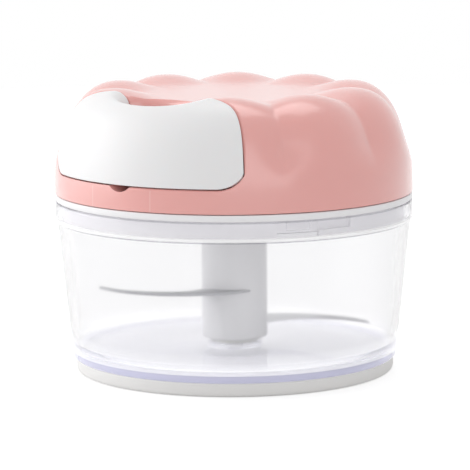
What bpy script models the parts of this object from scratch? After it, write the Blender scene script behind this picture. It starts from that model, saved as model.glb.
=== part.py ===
"""Pull-cord food chopper: a clear bowl with a petal-domed lid and a pull handle.

Metres, +Z up. The origin is the centre of the base's underside, and the handle
pulls out along -Y. Every turning piece turns about the Z axis.
"""

import math

import bmesh
import bpy
from mathutils import Matrix, Vector

# Clearances
SEAT_GAP = 0.0003
RUNNING_GAP = 0.0004
HANDLE_GAP = 0.0005
BAYONET_PLAY = 0.0004

# Non-slip base
BASE_RADIUS = 0.0518
BASE_HEIGHT = 0.0041
BASE_EDGE_RADIUS = 0.0011
BASE_PLUG_RADIUS = 0.0455
BASE_PLUG_HEIGHT = 0.0011
BASE_HOLLOW_RADIUS = 0.043
BASE_HOLLOW_DEPTH = 0.0007

# Bowl
BOWL_FOOT_RADIUS = 0.0527
BOWL_TOP_RADIUS = 0.0573
BOWL_FLOOR = 0.0028
BOWL_DEPTH = 0.0421
BOWL_FOOT_WALL = 0.0022
BOWL_TOP_WALL = 0.0032
BOWL_FOOT_ROUND = 0.0009
BOWL_FLOOR_ROUND = 0.0026
COLLAR_OVERHANG = 0.0007
COLLAR_WALL = 0.0018
COLLAR_HEIGHT = 0.0058
COLLAR_SEAT = 0.0007
COLLAR_STEP = 0.0003
BOSS_RADIUS = 0.009
BOSS_HEIGHT = 0.0016

# Bayonet lock between the bowl and the lid
LOCK_COUNT = 3
LOCK_ANGLE = math.radians(15.0)
LUG_WIDTH = 0.0078
LUG_HEIGHT = 0.0031
LUG_DEPTH = 0.0012
LOCK_SLOT_WIDTH = 0.0141
LOCK_START = math.radians(88.8)

# Pivot pin, its bush, and the blade unit
PIN_RADIUS = 0.0025
PIN_SEAT_DEPTH = 0.0026
PIN_LENGTH = 0.0235
BUSH_WALL = 0.0016
BUSH_FLANGE_RADIUS = 0.0078
BUSH_FLANGE = 0.001
BUSH_LENGTH = 0.0195
TUBE_RADIUS = 0.01065
TUBE_LENGTH = 0.0374
TUBE_EDGE_RADIUS = 0.0008
SOCKET_RADIUS = 0.0084
SOCKET_DEPTH = 0.0108
SOCKET_RIB_RADIUS = 0.0055
SOCKET_RIB_ANGLE = math.radians(50.0)
BLADE_THICKNESS = 0.001
BLADE_EYE_RADIUS = 0.0088
BLADE_EYE_BORE = 0.0064
BLADE_TIP = (-0.0447, 0.0008)
BLADE_BACK_MIDDLE = (-0.0192, -0.0164)
BLADE_BACK_ROOT = (0.0035, -0.0068)
BLADE_EDGE_MIDDLE = (-0.024, -0.0097)
BLADE_EDGE_ROOT = (-0.0072, 0.0015)
LOWER_BLADE_HEIGHT = 0.0033
BLADE_SPACING = 0.0124
UPPER_BLADE_ANGLE = math.radians(38.0)
LOWER_BLADE_ANGLE = math.radians(218.0)

# Lid base
LID_FLANGE = 0.0021
LID_RIM_WALL = 0.0017
LID_RIM_HEIGHT = 0.0018
LID_RING_WALL = 0.0023
SKIRT_WALL = 0.0009
DECK_THICKNESS = 0.0021
DECK_HEIGHT = 0.0006
SEAL_WIDTH = 0.0022
SEAL_HEIGHT = 0.0012
SEAL_BEAD_RADIUS = 0.0005
PLUG_WALL = 0.0022
PLUG_REACH = 0.0007
UNDERSIDE_COVER_THICKNESS = 0.001
UNDERSIDE_COVER_HOLE = 0.0083

# Drive shaft and one-way clutch
SHAFT_RADIUS = 0.0045
SHAFT_BUSH_WALL = 0.0015
SHAFT_BUSH_FLANGE_RADIUS = 0.008
SHAFT_BUSH_FLANGE = 0.0008
SHAFT_SHOULDER_RADIUS = 0.0079
SHAFT_SHOULDER = 0.0014
DOG_LENGTH = 0.0104
DOG_HUB_RADIUS = 0.0042
DOG_LOBE_RADIUS = 0.0079
DOG_LOBE_ANGLE = math.radians(40.0)
DOG_REST_LEAD = math.radians(9.0)
DOG_COUNT = 3
ROTOR_HEX_RADIUS = 0.0044
ROTOR_HUB_RADIUS = 0.0068
ROTOR_THICKNESS = 0.0032
PAWL_COUNT = 3
PAWL_SWEEP = math.radians(72.0)
PAWL_THICKNESS = 0.0013
RATCHET_TEETH = 12
RATCHET_TIP_RADIUS = 0.0122
RATCHET_ROOT_RADIUS = 0.0138
RATCHET_DEPTH = 0.0044

# Cord reel and recoil spring
REEL_LIFT = 0.002
REEL_CORE_RADIUS = 0.016
REEL_CORE_WALL = 0.0022
REEL_CLEARANCE = 0.0015
REEL_FLANGE = 0.0012
REEL_WEB = 0.0014
REEL_ROOM = 0.0106
CORD_RADIUS = 0.0009
CORD_TURNS = 3.5
CORD_PITCH = 0.0023
SPRING_TURNS = 4
SPRING_STRIP = 0.0005
SPRING_WIDTH = 0.0072
ARBOR_RADIUS = 0.0042
AXLE_RADIUS = 0.002
AXLE_OVERLAP = 0.005
SPRING_LID = 0.001

# Reel housing
HOUSING_RADIUS = 0.0293
HOUSING_WALL = 0.0018
HOUSING_CEILING = 0.0016
HOUSING_FOOT_REACH = 0.0042
HOUSING_FOOT_PAD = 0.0042
HOUSING_FOOT = 0.0018
HOUSING_POST_HEIGHT = 0.004
HOUSING_FOOT_COUNT = 3

# Petal cover
COVER_OVERHANG = 0.0001
COVER_HEIGHT = 0.0343
CREST_RADIUS = 0.039
CREST_RISE = 0.0026
DISC_RADIUS = 0.024
SHOULDER_POWER = 2.5
PETAL_COUNT = 10
PETAL_DEPTH = 0.0025
PETAL_START = 0.0085
PETAL_FULL = 0.0214
COVER_WALL = 0.002
COVER_BOSS_RADIUS = 0.0034
COVER_BOSS_CIRCLE = 0.045
COVER_BOSS_ANGLES = (54.0, 126.0, 198.0, 342.0)
COVER_PAD_RADIUS = 0.0048
COVER_PAD_HEIGHT = 0.002

# Handle recess and finger pocket
RECESS_HALF_WIDTH = 0.038
RECESS_SILL = 0.0076
RECESS_CORNER = 0.0065
RECESS_STANDOFF = 0.0062
RECESS_BACK_RADIUS = 0.18
RECESS_SIDE_ROUND = 0.008
RECESS_WALL = 0.0022
POCKET_CENTRE = 0.0377
POCKET_HALF_WIDTH = 0.0135
POCKET_FRONT = 0.0088
POCKET_REAR = 0.007
POCKET_LIP = 0.0028
POCKET_END_FLARE = 0.0073
POCKET_LIP_DROP = 0.0028
POCKET_FLOOR_ROUND = 0.002
THUMB_NOTCH_WIDTH = 0.008
THUMB_NOTCH_DEPTH = 0.0017
THUMB_NOTCH_REACH = 0.003

# Handle inner plate and cord stop
BACK_PLATE_THICKNESS = 0.0022
BACK_PLATE_HALF_WIDTH = 0.029
BACK_PLATE_HEIGHT = 0.0074
KNOT_RADIUS = 0.002
KNOT_LENGTH = 0.0038
GROMMET_FLANGE_RADIUS = 0.0032
GROMMET_WALL = 0.0009
GROMMET_FLANGE = 0.0009
GUIDE_FLANGE_RADIUS = 0.0026

# Self-tapping screws
SCREW_RADIUS = 0.0013
SCREW_LENGTH = 0.0085
SCREW_HEAD_RADIUS = 0.0026
SCREW_HEAD = 0.0017
SCREW_HEAD_ROUND = 0.0005

# Facets
ROUND_SEGMENTS = 48
MEDIUM_SEGMENTS = 32
SMALL_SEGMENTS = 20
TINY_SEGMENTS = 10
PETAL_SEGMENTS = 6
FAR = 0.02

# Heights, from the table up
bowl_bottom = BASE_HEIGHT + SEAT_GAP
bowl_floor = bowl_bottom + BOWL_FLOOR
boss_top = bowl_floor + BOSS_HEIGHT
bush_bottom = boss_top + SEAT_GAP
tube_bottom = bush_bottom + BUSH_FLANGE + SEAT_GAP
tube_top = tube_bottom + TUBE_LENGTH
collar_bottom = bowl_floor + BOWL_DEPTH
ledge = collar_bottom + COLLAR_SEAT
collar_top = ledge + COLLAR_HEIGHT
flange_bottom = collar_top + SEAT_GAP
flange_top = flange_bottom + LID_FLANGE
skirt_bottom = ledge + SEAT_GAP
seal_ceiling = skirt_bottom + SEAL_HEIGHT + SEAT_GAP
plug_bottom = skirt_bottom - PLUG_REACH
deck_bottom = skirt_bottom + DECK_HEIGHT
deck_top = deck_bottom + DECK_THICKNESS
pad_top = deck_top + COVER_PAD_HEIGHT
cover_bottom = flange_top + SEAT_GAP
cover_top = cover_bottom + COVER_HEIGHT
disc_top = cover_top - CREST_RISE
reel_bottom = deck_top + REEL_LIFT
reel_web_bottom = reel_bottom + RATCHET_DEPTH
reel_web_top = reel_web_bottom + REEL_WEB
reel_room_top = reel_web_top + REEL_ROOM
reel_top = reel_room_top + REEL_FLANGE
ceiling_bottom = reel_top + RUNNING_GAP
ceiling_top = ceiling_bottom + HOUSING_CEILING
recess_floor = cover_bottom + RECESS_SILL
pocket_floor = ceiling_top + RUNNING_GAP + RECESS_WALL
cord_height = reel_room_top - SEAT_GAP - CORD_RADIUS
housing_foot_bottom = deck_top + HOUSING_POST_HEIGHT + SEAT_GAP
housing_foot_top = housing_foot_bottom + HOUSING_FOOT
shoulder_bottom = deck_bottom - SEAT_GAP - SHAFT_SHOULDER
rotor_bottom = reel_web_bottom - RUNNING_GAP - ROTOR_THICKNESS

# Radii and distances that follow from the sizes above
collar_radius = BOWL_TOP_RADIUS + COLLAR_OVERHANG
collar_inner = collar_radius - COLLAR_WALL
ledge_inner = BOWL_TOP_RADIUS - BOWL_TOP_WALL
skirt_radius = collar_inner - SEAT_GAP
lug_inner = collar_inner - LUG_DEPTH
ring_inner = skirt_radius - LID_RING_WALL
seal_outer = lug_inner - SEAT_GAP
seal_inner = seal_outer - SEAL_WIDTH
plug_outer = seal_inner - SEAT_GAP
plug_inner = plug_outer - PLUG_WALL
cover_radius = collar_radius + COVER_OVERHANG
cover_inner = cover_radius - COVER_WALL
rim_radius = cover_inner - SEAT_GAP
bush_bore = PIN_RADIUS + SEAT_GAP
bush_radius = bush_bore + BUSH_WALL
shaft_bush_bore = SHAFT_RADIUS + SEAT_GAP
shaft_bush_radius = shaft_bush_bore + SHAFT_BUSH_WALL
axle_bore = AXLE_RADIUS + SEAT_GAP
spring_room = REEL_CORE_RADIUS - REEL_CORE_WALL
winding_radius = REEL_CORE_RADIUS + SEAT_GAP + CORD_RADIUS
cord_bore = CORD_RADIUS + HANDLE_GAP
reel_flange_radius = HOUSING_RADIUS - HOUSING_WALL - REEL_CLEARANCE
housing_foot_radius = HOUSING_RADIUS + HOUSING_FOOT_REACH
recess_apex = HOUSING_RADIUS + RECESS_STANDOFF
guide_distance = HOUSING_RADIUS - HOUSING_WALL / 2
cord_bend = guide_distance - HOUSING_WALL / 2 - 3 * CORD_RADIUS
screw_hole = SCREW_RADIUS + SEAT_GAP
knot_face = recess_apex + HANDLE_GAP + BACK_PLATE_THICKNESS + SEAT_GAP


def clear_scene():
    """Remove every object of the open scene."""
    for item in list(bpy.data.objects):
        bpy.data.objects.remove(item, do_unlink=True)


def plastic(name, colour, roughness, metallic=0.0, alpha=1.0):
    """Return a Principled material with one flat colour."""
    material = bpy.data.materials.new(name)
    material.use_nodes = True
    shader = material.node_tree.nodes["Principled BSDF"]
    shader.inputs["Base Color"].default_value = (*colour, 1.0)
    shader.inputs["Roughness"].default_value = roughness
    shader.inputs["Metallic"].default_value = metallic
    shader.inputs["Alpha"].default_value = alpha
    material.diffuse_color = (*colour, alpha)
    return material


def group_empty(name, location=(0.0, 0.0, 0.0)):
    """Return an empty that carries the pieces of one moving group."""
    empty = bpy.data.objects.new(name, None)
    empty.location = location
    empty.empty_display_size = FAR
    bpy.context.collection.objects.link(empty)
    return empty


def finish(name, shape, material=None, parent=None):
    """Turn a bmesh into a smooth-shaded object under its group's empty."""
    bmesh.ops.recalc_face_normals(shape, faces=shape.faces)
    mesh = bpy.data.meshes.new(name)
    shape.to_mesh(mesh)
    shape.free()
    mesh.shade_smooth()
    mesh.set_sharp_from_angle(angle=math.radians(35.0))
    piece = bpy.data.objects.new(name, mesh)
    bpy.context.collection.objects.link(piece)
    if material:
        mesh.materials.append(material)
    if parent:
        piece.parent = parent
        piece.matrix_parent_inverse = Matrix.Translation(-parent.location)
    return piece


def combine(piece, tool, operation="DIFFERENCE"):
    """Cut, join or keep the overlap of a piece with a hidden tool shape."""
    modifier = piece.modifiers.new(tool.name, "BOOLEAN")
    modifier.operation = operation
    modifier.object = tool
    modifier.solver = "EXACT"
    tool.hide_render = True
    tool.display_type = "WIRE"


def turned_shape(outline, segments=ROUND_SEGMENTS):
    """Spin (radius, height) points about Z; an outline off the axis is a ring."""
    shape = bmesh.new()
    points = [shape.verts.new((radius, 0.0, height)) for radius, height in outline]
    edges = [shape.edges.new(pair) for pair in zip(points, points[1:])]
    if outline[0][0] > 0.0:
        edges.append(shape.edges.new((points[-1], points[0])))
    bmesh.ops.spin(
        shape,
        geom=points + edges,
        cent=(0.0, 0.0, 0.0),
        axis=(0.0, 0.0, 1.0),
        angle=2.0 * math.pi,
        steps=segments,
        use_merge=True,
    )
    bmesh.ops.remove_doubles(shape, verts=shape.verts, dist=1e-6)
    return shape


def prism_shape(outline, bottom, top):
    """Extrude a flat (x, y) outline from one height to another."""
    shape = bmesh.new()
    face = shape.faces.new([shape.verts.new((x, y, bottom)) for x, y in outline])
    lifted = bmesh.ops.extrude_face_region(shape, geom=[face])
    raised = [item for item in lifted["geom"] if isinstance(item, bmesh.types.BMVert)]
    bmesh.ops.translate(shape, verts=raised, vec=(0.0, 0.0, top - bottom))
    return shape


def loft_shape(sections):
    """Bridge a row of closed sections that have the same number of points."""
    shape = bmesh.new()
    rings = [[shape.verts.new(point) for point in section] for section in sections]
    for near, far in zip(rings, rings[1:]):
        for index in range(len(near)):
            after = (index + 1) % len(near)
            shape.faces.new((near[index], near[after], far[after], far[index]))
    shape.faces.new(reversed(rings[0]))
    shape.faces.new(rings[-1])
    return shape


def add_shapes(shapes):
    """Gather several bmeshes into one, as separate bodies of one tool."""
    joined = bmesh.new()
    for shape in shapes:
        mesh = bpy.data.meshes.new("gathered")
        shape.to_mesh(mesh)
        shape.free()
        joined.from_mesh(mesh)
        bpy.data.meshes.remove(mesh)
    return joined


def placed(shape, matrix):
    """Move a bmesh by a matrix and return it."""
    bmesh.ops.transform(shape, matrix=matrix, verts=shape.verts)
    return shape


def polar(angle, radius):
    """Return the (x, y) point at an angle in radians and a radius."""
    return (radius * math.cos(angle), radius * math.sin(angle))


def circle_points(radius, count):
    """Return points round a circle."""
    return [polar(2.0 * math.pi * step / count, radius) for step in range(count)]


def arc_points(centre, radius, start, end, steps):
    """Return points along an arc, ends included; angles in degrees."""
    points = []
    for step in range(steps + 1):
        angle = math.radians(start + (end - start) * step / steps)
        points.append((centre[0] + radius * math.cos(angle), centre[1] + radius * math.sin(angle)))
    return points


def arc_through(first, middle, last, steps, grow=0.0):
    """Return points of the arc through three points, its radius grown."""
    (ax, ay), (bx, by), (cx, cy) = first, middle, last
    scale = 2.0 * (ax * (by - cy) + bx * (cy - ay) + cx * (ay - by))
    square_a = ax * ax + ay * ay
    square_b = bx * bx + by * by
    square_c = cx * cx + cy * cy
    centre_x = (square_a * (by - cy) + square_b * (cy - ay) + square_c * (ay - by)) / scale
    centre_y = (square_a * (cx - bx) + square_b * (ax - cx) + square_c * (bx - ax)) / scale
    radius = math.hypot(ax - centre_x, ay - centre_y) + grow
    start = math.atan2(ay - centre_y, ax - centre_x)
    turn = math.atan2(cy - centre_y, cx - centre_x) - start
    turn -= 2.0 * math.pi * round(turn / (2.0 * math.pi))
    return arc_points(
        (centre_x, centre_y), radius, math.degrees(start), math.degrees(start + turn), steps
    )


def ring_outline(inner, outer, bottom, top):
    """Return the square section of a plain ring."""
    return [(inner, bottom), (outer, bottom), (outer, top), (inner, top)]


def plug_outline(radius, bottom, top):
    """Return the half section of a plain disc or pin."""
    return [(0.0, bottom), (radius, bottom), (radius, top), (0.0, top)]


def along_pull(shape, distance, height):
    """Lay a shape turned about Z along the pull, its origin at the distance."""
    return placed(
        shape,
        Matrix.Translation((0.0, -distance, height)) @ Matrix.Rotation(math.radians(90.0), 4, "X"),
    )


def smooth_step(value):
    """Ease from 0 to 1."""
    value = min(max(value, 0.0), 1.0)
    return value * value * (3.0 - 2.0 * value)


# Base and bowl


def make_base(material):
    """Soft disc under the bowl, with a plug that grips the bowl's recess."""
    edge = BASE_EDGE_RADIUS
    outline = [(0.0, BASE_HOLLOW_DEPTH), (BASE_HOLLOW_RADIUS - BASE_HOLLOW_DEPTH, BASE_HOLLOW_DEPTH)]
    outline.append((BASE_HOLLOW_RADIUS, 0.0))
    outline += arc_points((BASE_RADIUS - edge, edge), edge, -90.0, 0.0, 2)
    outline += [
        (BASE_RADIUS, BASE_HEIGHT),
        (BASE_PLUG_RADIUS, BASE_HEIGHT),
        (BASE_PLUG_RADIUS, BASE_HEIGHT + BASE_PLUG_HEIGHT),
        (0.0, BASE_HEIGHT + BASE_PLUG_HEIGHT),
    ]
    return finish("base_pad", turned_shape(outline), material)


def bowl_outer_radius(height):
    """Radius of the bowl's straight, flared outside at a height."""
    share = (height - bowl_bottom) / (collar_bottom - bowl_bottom)
    return BOWL_FOOT_RADIUS + (BOWL_TOP_RADIUS - BOWL_FOOT_RADIUS) * share


def make_bowl(material):
    """Clear bowl: recessed foot, flared wall, collar, lugs and pin boss."""
    recess_radius = BASE_PLUG_RADIUS + SEAT_GAP
    recess_top = bowl_bottom + BASE_PLUG_HEIGHT
    round_top = bowl_floor + BOWL_FLOOR_ROUND
    wall_foot = bowl_outer_radius(round_top) - BOWL_FOOT_WALL
    foot = BOWL_FOOT_ROUND
    outline = [(0.0, recess_top), (recess_radius, recess_top), (recess_radius, bowl_bottom)]
    outline += arc_points((BOWL_FOOT_RADIUS - foot, bowl_bottom + foot), foot, -90.0, 0.0, 2)
    outline += [
        (BOWL_TOP_RADIUS, collar_bottom),
        (collar_radius - COLLAR_STEP, collar_bottom + COLLAR_STEP),
        (collar_radius, collar_top),
        (collar_inner, collar_top),
        (collar_inner, ledge),
        (ledge_inner, ledge),
        (wall_foot, round_top),
    ]
    outline += arc_points(
        (wall_foot - BOWL_FLOOR_ROUND, round_top), BOWL_FLOOR_ROUND, -30.0, -90.0, 2
    )
    outline += [
        (BOSS_RADIUS, bowl_floor),
        (BOSS_RADIUS, boss_top),
        (PIN_RADIUS + SEAT_GAP, boss_top),
        (PIN_RADIUS + SEAT_GAP, boss_top - PIN_SEAT_DEPTH),
        (0.0, boss_top - PIN_SEAT_DEPTH),
    ]
    bowl = finish("bowl", turned_shape(outline), material)
    lugs = []
    for index in range(LOCK_COUNT):
        block = prism_shape(
            [
                (lug_inner, -LUG_WIDTH / 2),
                (collar_inner + COLLAR_WALL / 2, -LUG_WIDTH / 2),
                (collar_inner + COLLAR_WALL / 2, LUG_WIDTH / 2),
                (lug_inner, LUG_WIDTH / 2),
            ],
            collar_top - LUG_HEIGHT,
            collar_top - SEAT_GAP,
        )
        lugs.append(placed(block, Matrix.Rotation(lock_angle(index), 4, "Z")))
    combine(bowl, finish("tool_bowl_lugs", add_shapes(lugs)), "UNION")
    return bowl


def lock_angle(index):
    """Direction of one bayonet lug; the first is nearly opposite the handle."""
    return LOCK_START + 2.0 * math.pi * index / LOCK_COUNT


def make_pivot_pin(material):
    """Steel pin pressed in the bowl's boss, with a domed end."""
    bottom = boss_top - PIN_SEAT_DEPTH + SEAT_GAP
    top = bottom + PIN_LENGTH
    dome = PIN_RADIUS / 3
    outline = [(0.0, bottom), (PIN_RADIUS, bottom)]
    outline += arc_points((PIN_RADIUS - dome, top - dome), dome, 0.0, 90.0, 2)
    outline.append((0.0, top))
    return finish("pivot_pin", turned_shape(outline, TINY_SEGMENTS * 2), material)


# Blade unit


def make_pivot_bush(material, parent):
    """Flanged sleeve that turns on the pin and carries the blade unit."""
    top = bush_bottom + BUSH_LENGTH
    outline = [
        (bush_bore, bush_bottom),
        (BUSH_FLANGE_RADIUS, bush_bottom),
        (BUSH_FLANGE_RADIUS, bush_bottom + BUSH_FLANGE),
        (bush_radius, bush_bottom + BUSH_FLANGE),
        (bush_radius, top),
        (bush_bore, top),
    ]
    return finish("pivot_bush", turned_shape(outline, SMALL_SEGMENTS), material, parent)


def blade_level(index):
    """Underside height of a blade, counted from the lower one."""
    return tube_bottom + LOWER_BLADE_HEIGHT + index * BLADE_SPACING


def blade_shape(bottom, angle, grow=0.0):
    """Sickle blade outline, extruded and turned to its direction."""
    back = arc_through(BLADE_TIP, BLADE_BACK_MIDDLE, BLADE_BACK_ROOT, 10, grow)
    edge = arc_through(BLADE_EDGE_ROOT, BLADE_EDGE_MIDDLE, BLADE_TIP, 8, -grow)
    shape = prism_shape(back + edge[:-1], bottom - grow, bottom + BLADE_THICKNESS + grow)
    return placed(shape, Matrix.Rotation(angle, 4, "Z"))


def make_blade(name, index, angle, material, parent):
    """Sheet-steel blade with the eye that the tube is moulded round."""
    bottom = blade_level(index)
    top = bottom + BLADE_THICKNESS
    blade = finish(name, blade_shape(bottom, angle), material, parent)
    eye = finish("tool_eye_" + name, turned_shape(plug_outline(BLADE_EYE_RADIUS, bottom, top), MEDIUM_SEGMENTS))
    bore = finish(
        "tool_bore_" + name,
        turned_shape(plug_outline(BLADE_EYE_BORE, bottom - FAR, top + FAR), SMALL_SEGMENTS),
    )
    combine(blade, eye, "UNION")
    combine(blade, bore)
    return blade


def blade_room(name, index, angle):
    """Tool for the room that one blade takes in the tube."""
    bottom = blade_level(index) - SEAT_GAP
    top = bottom + BLADE_THICKNESS + 2 * SEAT_GAP
    room = finish("tool_room_" + name, blade_shape(blade_level(index), angle, SEAT_GAP))
    eye = turned_shape(plug_outline(BLADE_EYE_RADIUS + SEAT_GAP, bottom, top), MEDIUM_SEGMENTS)
    core = turned_shape(
        plug_outline(BLADE_EYE_BORE - SEAT_GAP, bottom - FAR, top + FAR), SMALL_SEGMENTS
    )
    combine(room, finish("tool_room_eye_" + name, eye), "UNION")
    combine(room, finish("tool_room_core_" + name, core))
    return room


def make_blade_tube(material, parent):
    """Tube that carries both blades, with the drive socket in its top."""
    edge = TUBE_EDGE_RADIUS
    bore = bush_radius + SEAT_GAP
    bore_top = bush_bottom + BUSH_LENGTH + 2 * SEAT_GAP
    pin_top = boss_top - PIN_SEAT_DEPTH + SEAT_GAP + PIN_LENGTH
    bore_top = max(bore_top, pin_top + SEAT_GAP)
    outline = [(0.0, bore_top), (bore, bore_top), (bore, tube_bottom)]
    outline += arc_points((TUBE_RADIUS - edge, tube_bottom + edge), edge, -90.0, 0.0, 2)
    outline += arc_points((TUBE_RADIUS - edge, tube_top - edge), edge, 0.0, 90.0, 2)
    outline += [
        (SOCKET_RADIUS, tube_top),
        (SOCKET_RADIUS, tube_top - SOCKET_DEPTH),
        (0.0, tube_top - SOCKET_DEPTH),
    ]
    tube = finish("blade_tube", turned_shape(outline, MEDIUM_SEGMENTS), material, parent)
    ribs = []
    for index in range(DOG_COUNT):
        middle = math.pi / DOG_COUNT + 2.0 * math.pi * index / DOG_COUNT
        ribs.append(
            sector_shape(
                SOCKET_RIB_RADIUS,
                SOCKET_RADIUS + (TUBE_RADIUS - SOCKET_RADIUS) / 2,
                middle,
                SOCKET_RIB_ANGLE,
                tube_top - SOCKET_DEPTH - SEAT_GAP,
                tube_top - edge,
            )
        )
    combine(tube, finish("tool_socket_ribs", add_shapes(ribs)), "UNION")
    combine(tube, blade_room("lower", 0, LOWER_BLADE_ANGLE))
    combine(tube, blade_room("upper", 1, UPPER_BLADE_ANGLE))
    return tube


def sector_shape(inner, outer, middle, width, bottom, top, steps=5):
    """Block between two radii, round a direction, over a width in radians."""
    start = math.degrees(middle - width / 2)
    end = math.degrees(middle + width / 2)
    outline = arc_points((0.0, 0.0), outer, start, end, steps)
    outline += arc_points((0.0, 0.0), inner, end, start, steps)
    return prism_shape(outline, bottom, top)


# Lid


def make_seal(material, parent):
    """Silicone ring that closes the lid on the bowl's ledge."""
    bottom = ledge + SEAT_GAP
    bead = SEAL_BEAD_RADIUS
    top = bottom + SEAL_HEIGHT
    outline = [(seal_inner, bottom + bead), (seal_inner + bead, bottom)]
    outline += arc_points((seal_outer - bead, bottom + bead), bead, -90.0, 0.0, 2)
    outline += [(seal_outer, top), (seal_inner, top)]
    return finish("sealing_ring", turned_shape(outline), material, parent)


def make_lid_base(material, parent):
    """White lid base: flange, slotted skirt, seal groove, deck and posts."""
    groove_outer = skirt_radius - SKIRT_WALL
    cover_recess = plug_inner + SEAT_GAP
    hole = shaft_bush_radius + SEAT_GAP
    outline = [
        (hole, deck_bottom),
        (cover_recess, deck_bottom),
        (cover_recess, plug_bottom),
        (plug_outer, plug_bottom),
        (plug_outer, seal_ceiling),
        (groove_outer, seal_ceiling),
        (groove_outer, skirt_bottom),
        (skirt_radius, skirt_bottom),
        (skirt_radius, flange_bottom),
        (collar_radius, flange_bottom),
        (collar_radius, flange_top),
        (rim_radius, flange_top),
        (rim_radius, flange_top + LID_RIM_HEIGHT),
        (rim_radius - LID_RIM_WALL, flange_top + LID_RIM_HEIGHT),
        (ring_inner, flange_bottom),
        (ring_inner, deck_top),
        (hole, deck_top),
    ]
    base = finish("lid_base", turned_shape(outline), material, parent)
    combine(base, finish("tool_lock_slots", add_shapes(lock_slot_shapes())))
    combine(base, finish("tool_lock_grooves", add_shapes(lock_groove_shapes())))
    post_top = housing_foot_bottom - SEAT_GAP
    posts = [
        placed(
            turned_shape(plug_outline(HOUSING_FOOT_PAD, deck_bottom + SEAT_GAP, post_top), TINY_SEGMENTS),
            Matrix.Translation((x, y, 0.0)),
        )
        for x, y in foot_places()
    ]
    posts += [
        placed(
            turned_shape(
                plug_outline(COVER_PAD_RADIUS, deck_top - DECK_THICKNESS / 2, pad_top), TINY_SEGMENTS
            ),
            Matrix.Translation((x, y, 0.0)),
        )
        for x, y in boss_places()
    ]
    combine(base, finish("tool_lid_posts", add_shapes(posts)), "UNION")
    head_room = SCREW_HEAD_RADIUS + SEAT_GAP
    head_top = deck_bottom + SCREW_HEAD + SEAT_GAP
    holes = [
        placed(
            turned_shape(
                [
                    (0.0, deck_bottom - FAR),
                    (head_room, deck_bottom - FAR),
                    (head_room, head_top),
                    (screw_hole, head_top),
                    (screw_hole, pad_top + FAR),
                    (0.0, pad_top + FAR),
                ],
                TINY_SEGMENTS,
            ),
            Matrix.Translation((x, y, 0.0)),
        )
        for x, y in boss_places()
    ]
    pilot_bottom = housing_foot_top + SEAT_GAP - SCREW_LENGTH - 2 * SEAT_GAP
    holes += [
        placed(
            turned_shape(plug_outline(screw_hole, pilot_bottom, deck_top + FAR), TINY_SEGMENTS),
            Matrix.Translation((x, y, 0.0)),
        )
        for x, y in foot_places()
    ]
    combine(base, finish("tool_lid_holes", add_shapes(holes)))
    return base


def lock_slot_shapes():
    """Upright slots of the skirt, where the bowl's lugs pass."""
    width = LOCK_SLOT_WIDTH / skirt_radius
    return [
        sector_shape(
            lug_inner - BAYONET_PLAY,
            skirt_radius + COLLAR_WALL / 2,
            lock_angle(index),
            width,
            skirt_bottom - FAR,
            flange_bottom + SEAT_GAP,
        )
        for index in range(LOCK_COUNT)
    ]


def lock_groove_shapes():
    """Level grooves of the skirt, where the lugs sit once the lid is turned."""
    half_lug = LUG_WIDTH / 2 / lug_inner
    reach = LOCK_ANGLE + half_lug + BAYONET_PLAY / lug_inner
    return [
        sector_shape(
            lug_inner - BAYONET_PLAY + SEAT_GAP / 2,
            skirt_radius + COLLAR_WALL / 2,
            lock_angle(index) + reach / 2,
            reach,
            collar_top - LUG_HEIGHT - BAYONET_PLAY,
            flange_bottom + SEAT_GAP / 2,
        )
        for index in range(LOCK_COUNT)
    ]


def foot_places():
    """Centres of the reel housing's screws."""
    return circle_points(housing_foot_radius, HOUSING_FOOT_COUNT)


def boss_places():
    """Centres of the screws that hold the cover."""
    return [polar(math.radians(angle), COVER_BOSS_CIRCLE) for angle in COVER_BOSS_ANGLES]


def make_underside_cover(material, parent):
    """Disc that hides the screws from the food."""
    top = deck_bottom - SEAT_GAP
    outline = ring_outline(
        UNDERSIDE_COVER_HOLE, plug_inner, top - UNDERSIDE_COVER_THICKNESS, top
    )
    return finish("underside_cover", turned_shape(outline), material, parent)


def make_shaft_bush(material, parent):
    """Flanged bush in the deck, where the drive shaft turns."""
    flange_low = deck_top + SEAT_GAP
    outline = [
        (shaft_bush_bore, deck_bottom),
        (shaft_bush_radius, deck_bottom),
        (shaft_bush_radius, flange_low),
        (SHAFT_BUSH_FLANGE_RADIUS, flange_low),
        (SHAFT_BUSH_FLANGE_RADIUS, flange_low + SHAFT_BUSH_FLANGE),
        (shaft_bush_bore, flange_low + SHAFT_BUSH_FLANGE),
    ]
    return finish("shaft_bush", turned_shape(outline, SMALL_SEGMENTS), material, parent)


def make_screw(name, place, head_level, upward, material, parent):
    """Pan-head screw; upward ones have their head below."""
    edge = SCREW_HEAD_ROUND
    outline = [(0.0, 0.0), (SCREW_HEAD_RADIUS - edge, 0.0), (SCREW_HEAD_RADIUS, edge)]
    outline += [(SCREW_HEAD_RADIUS, SCREW_HEAD), (SCREW_RADIUS, SCREW_HEAD)]
    outline += [(SCREW_RADIUS, SCREW_LENGTH + SCREW_HEAD - SCREW_RADIUS)]
    outline += [(0.0, SCREW_LENGTH + SCREW_HEAD)]
    matrix = Matrix.Translation((place[0], place[1], head_level))
    if not upward:
        matrix = matrix @ Matrix.Rotation(math.pi, 4, "X")
    return finish(name, placed(turned_shape(outline, TINY_SEGMENTS), matrix), material, parent)


# Reel housing, reel, spring and clutch


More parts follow.
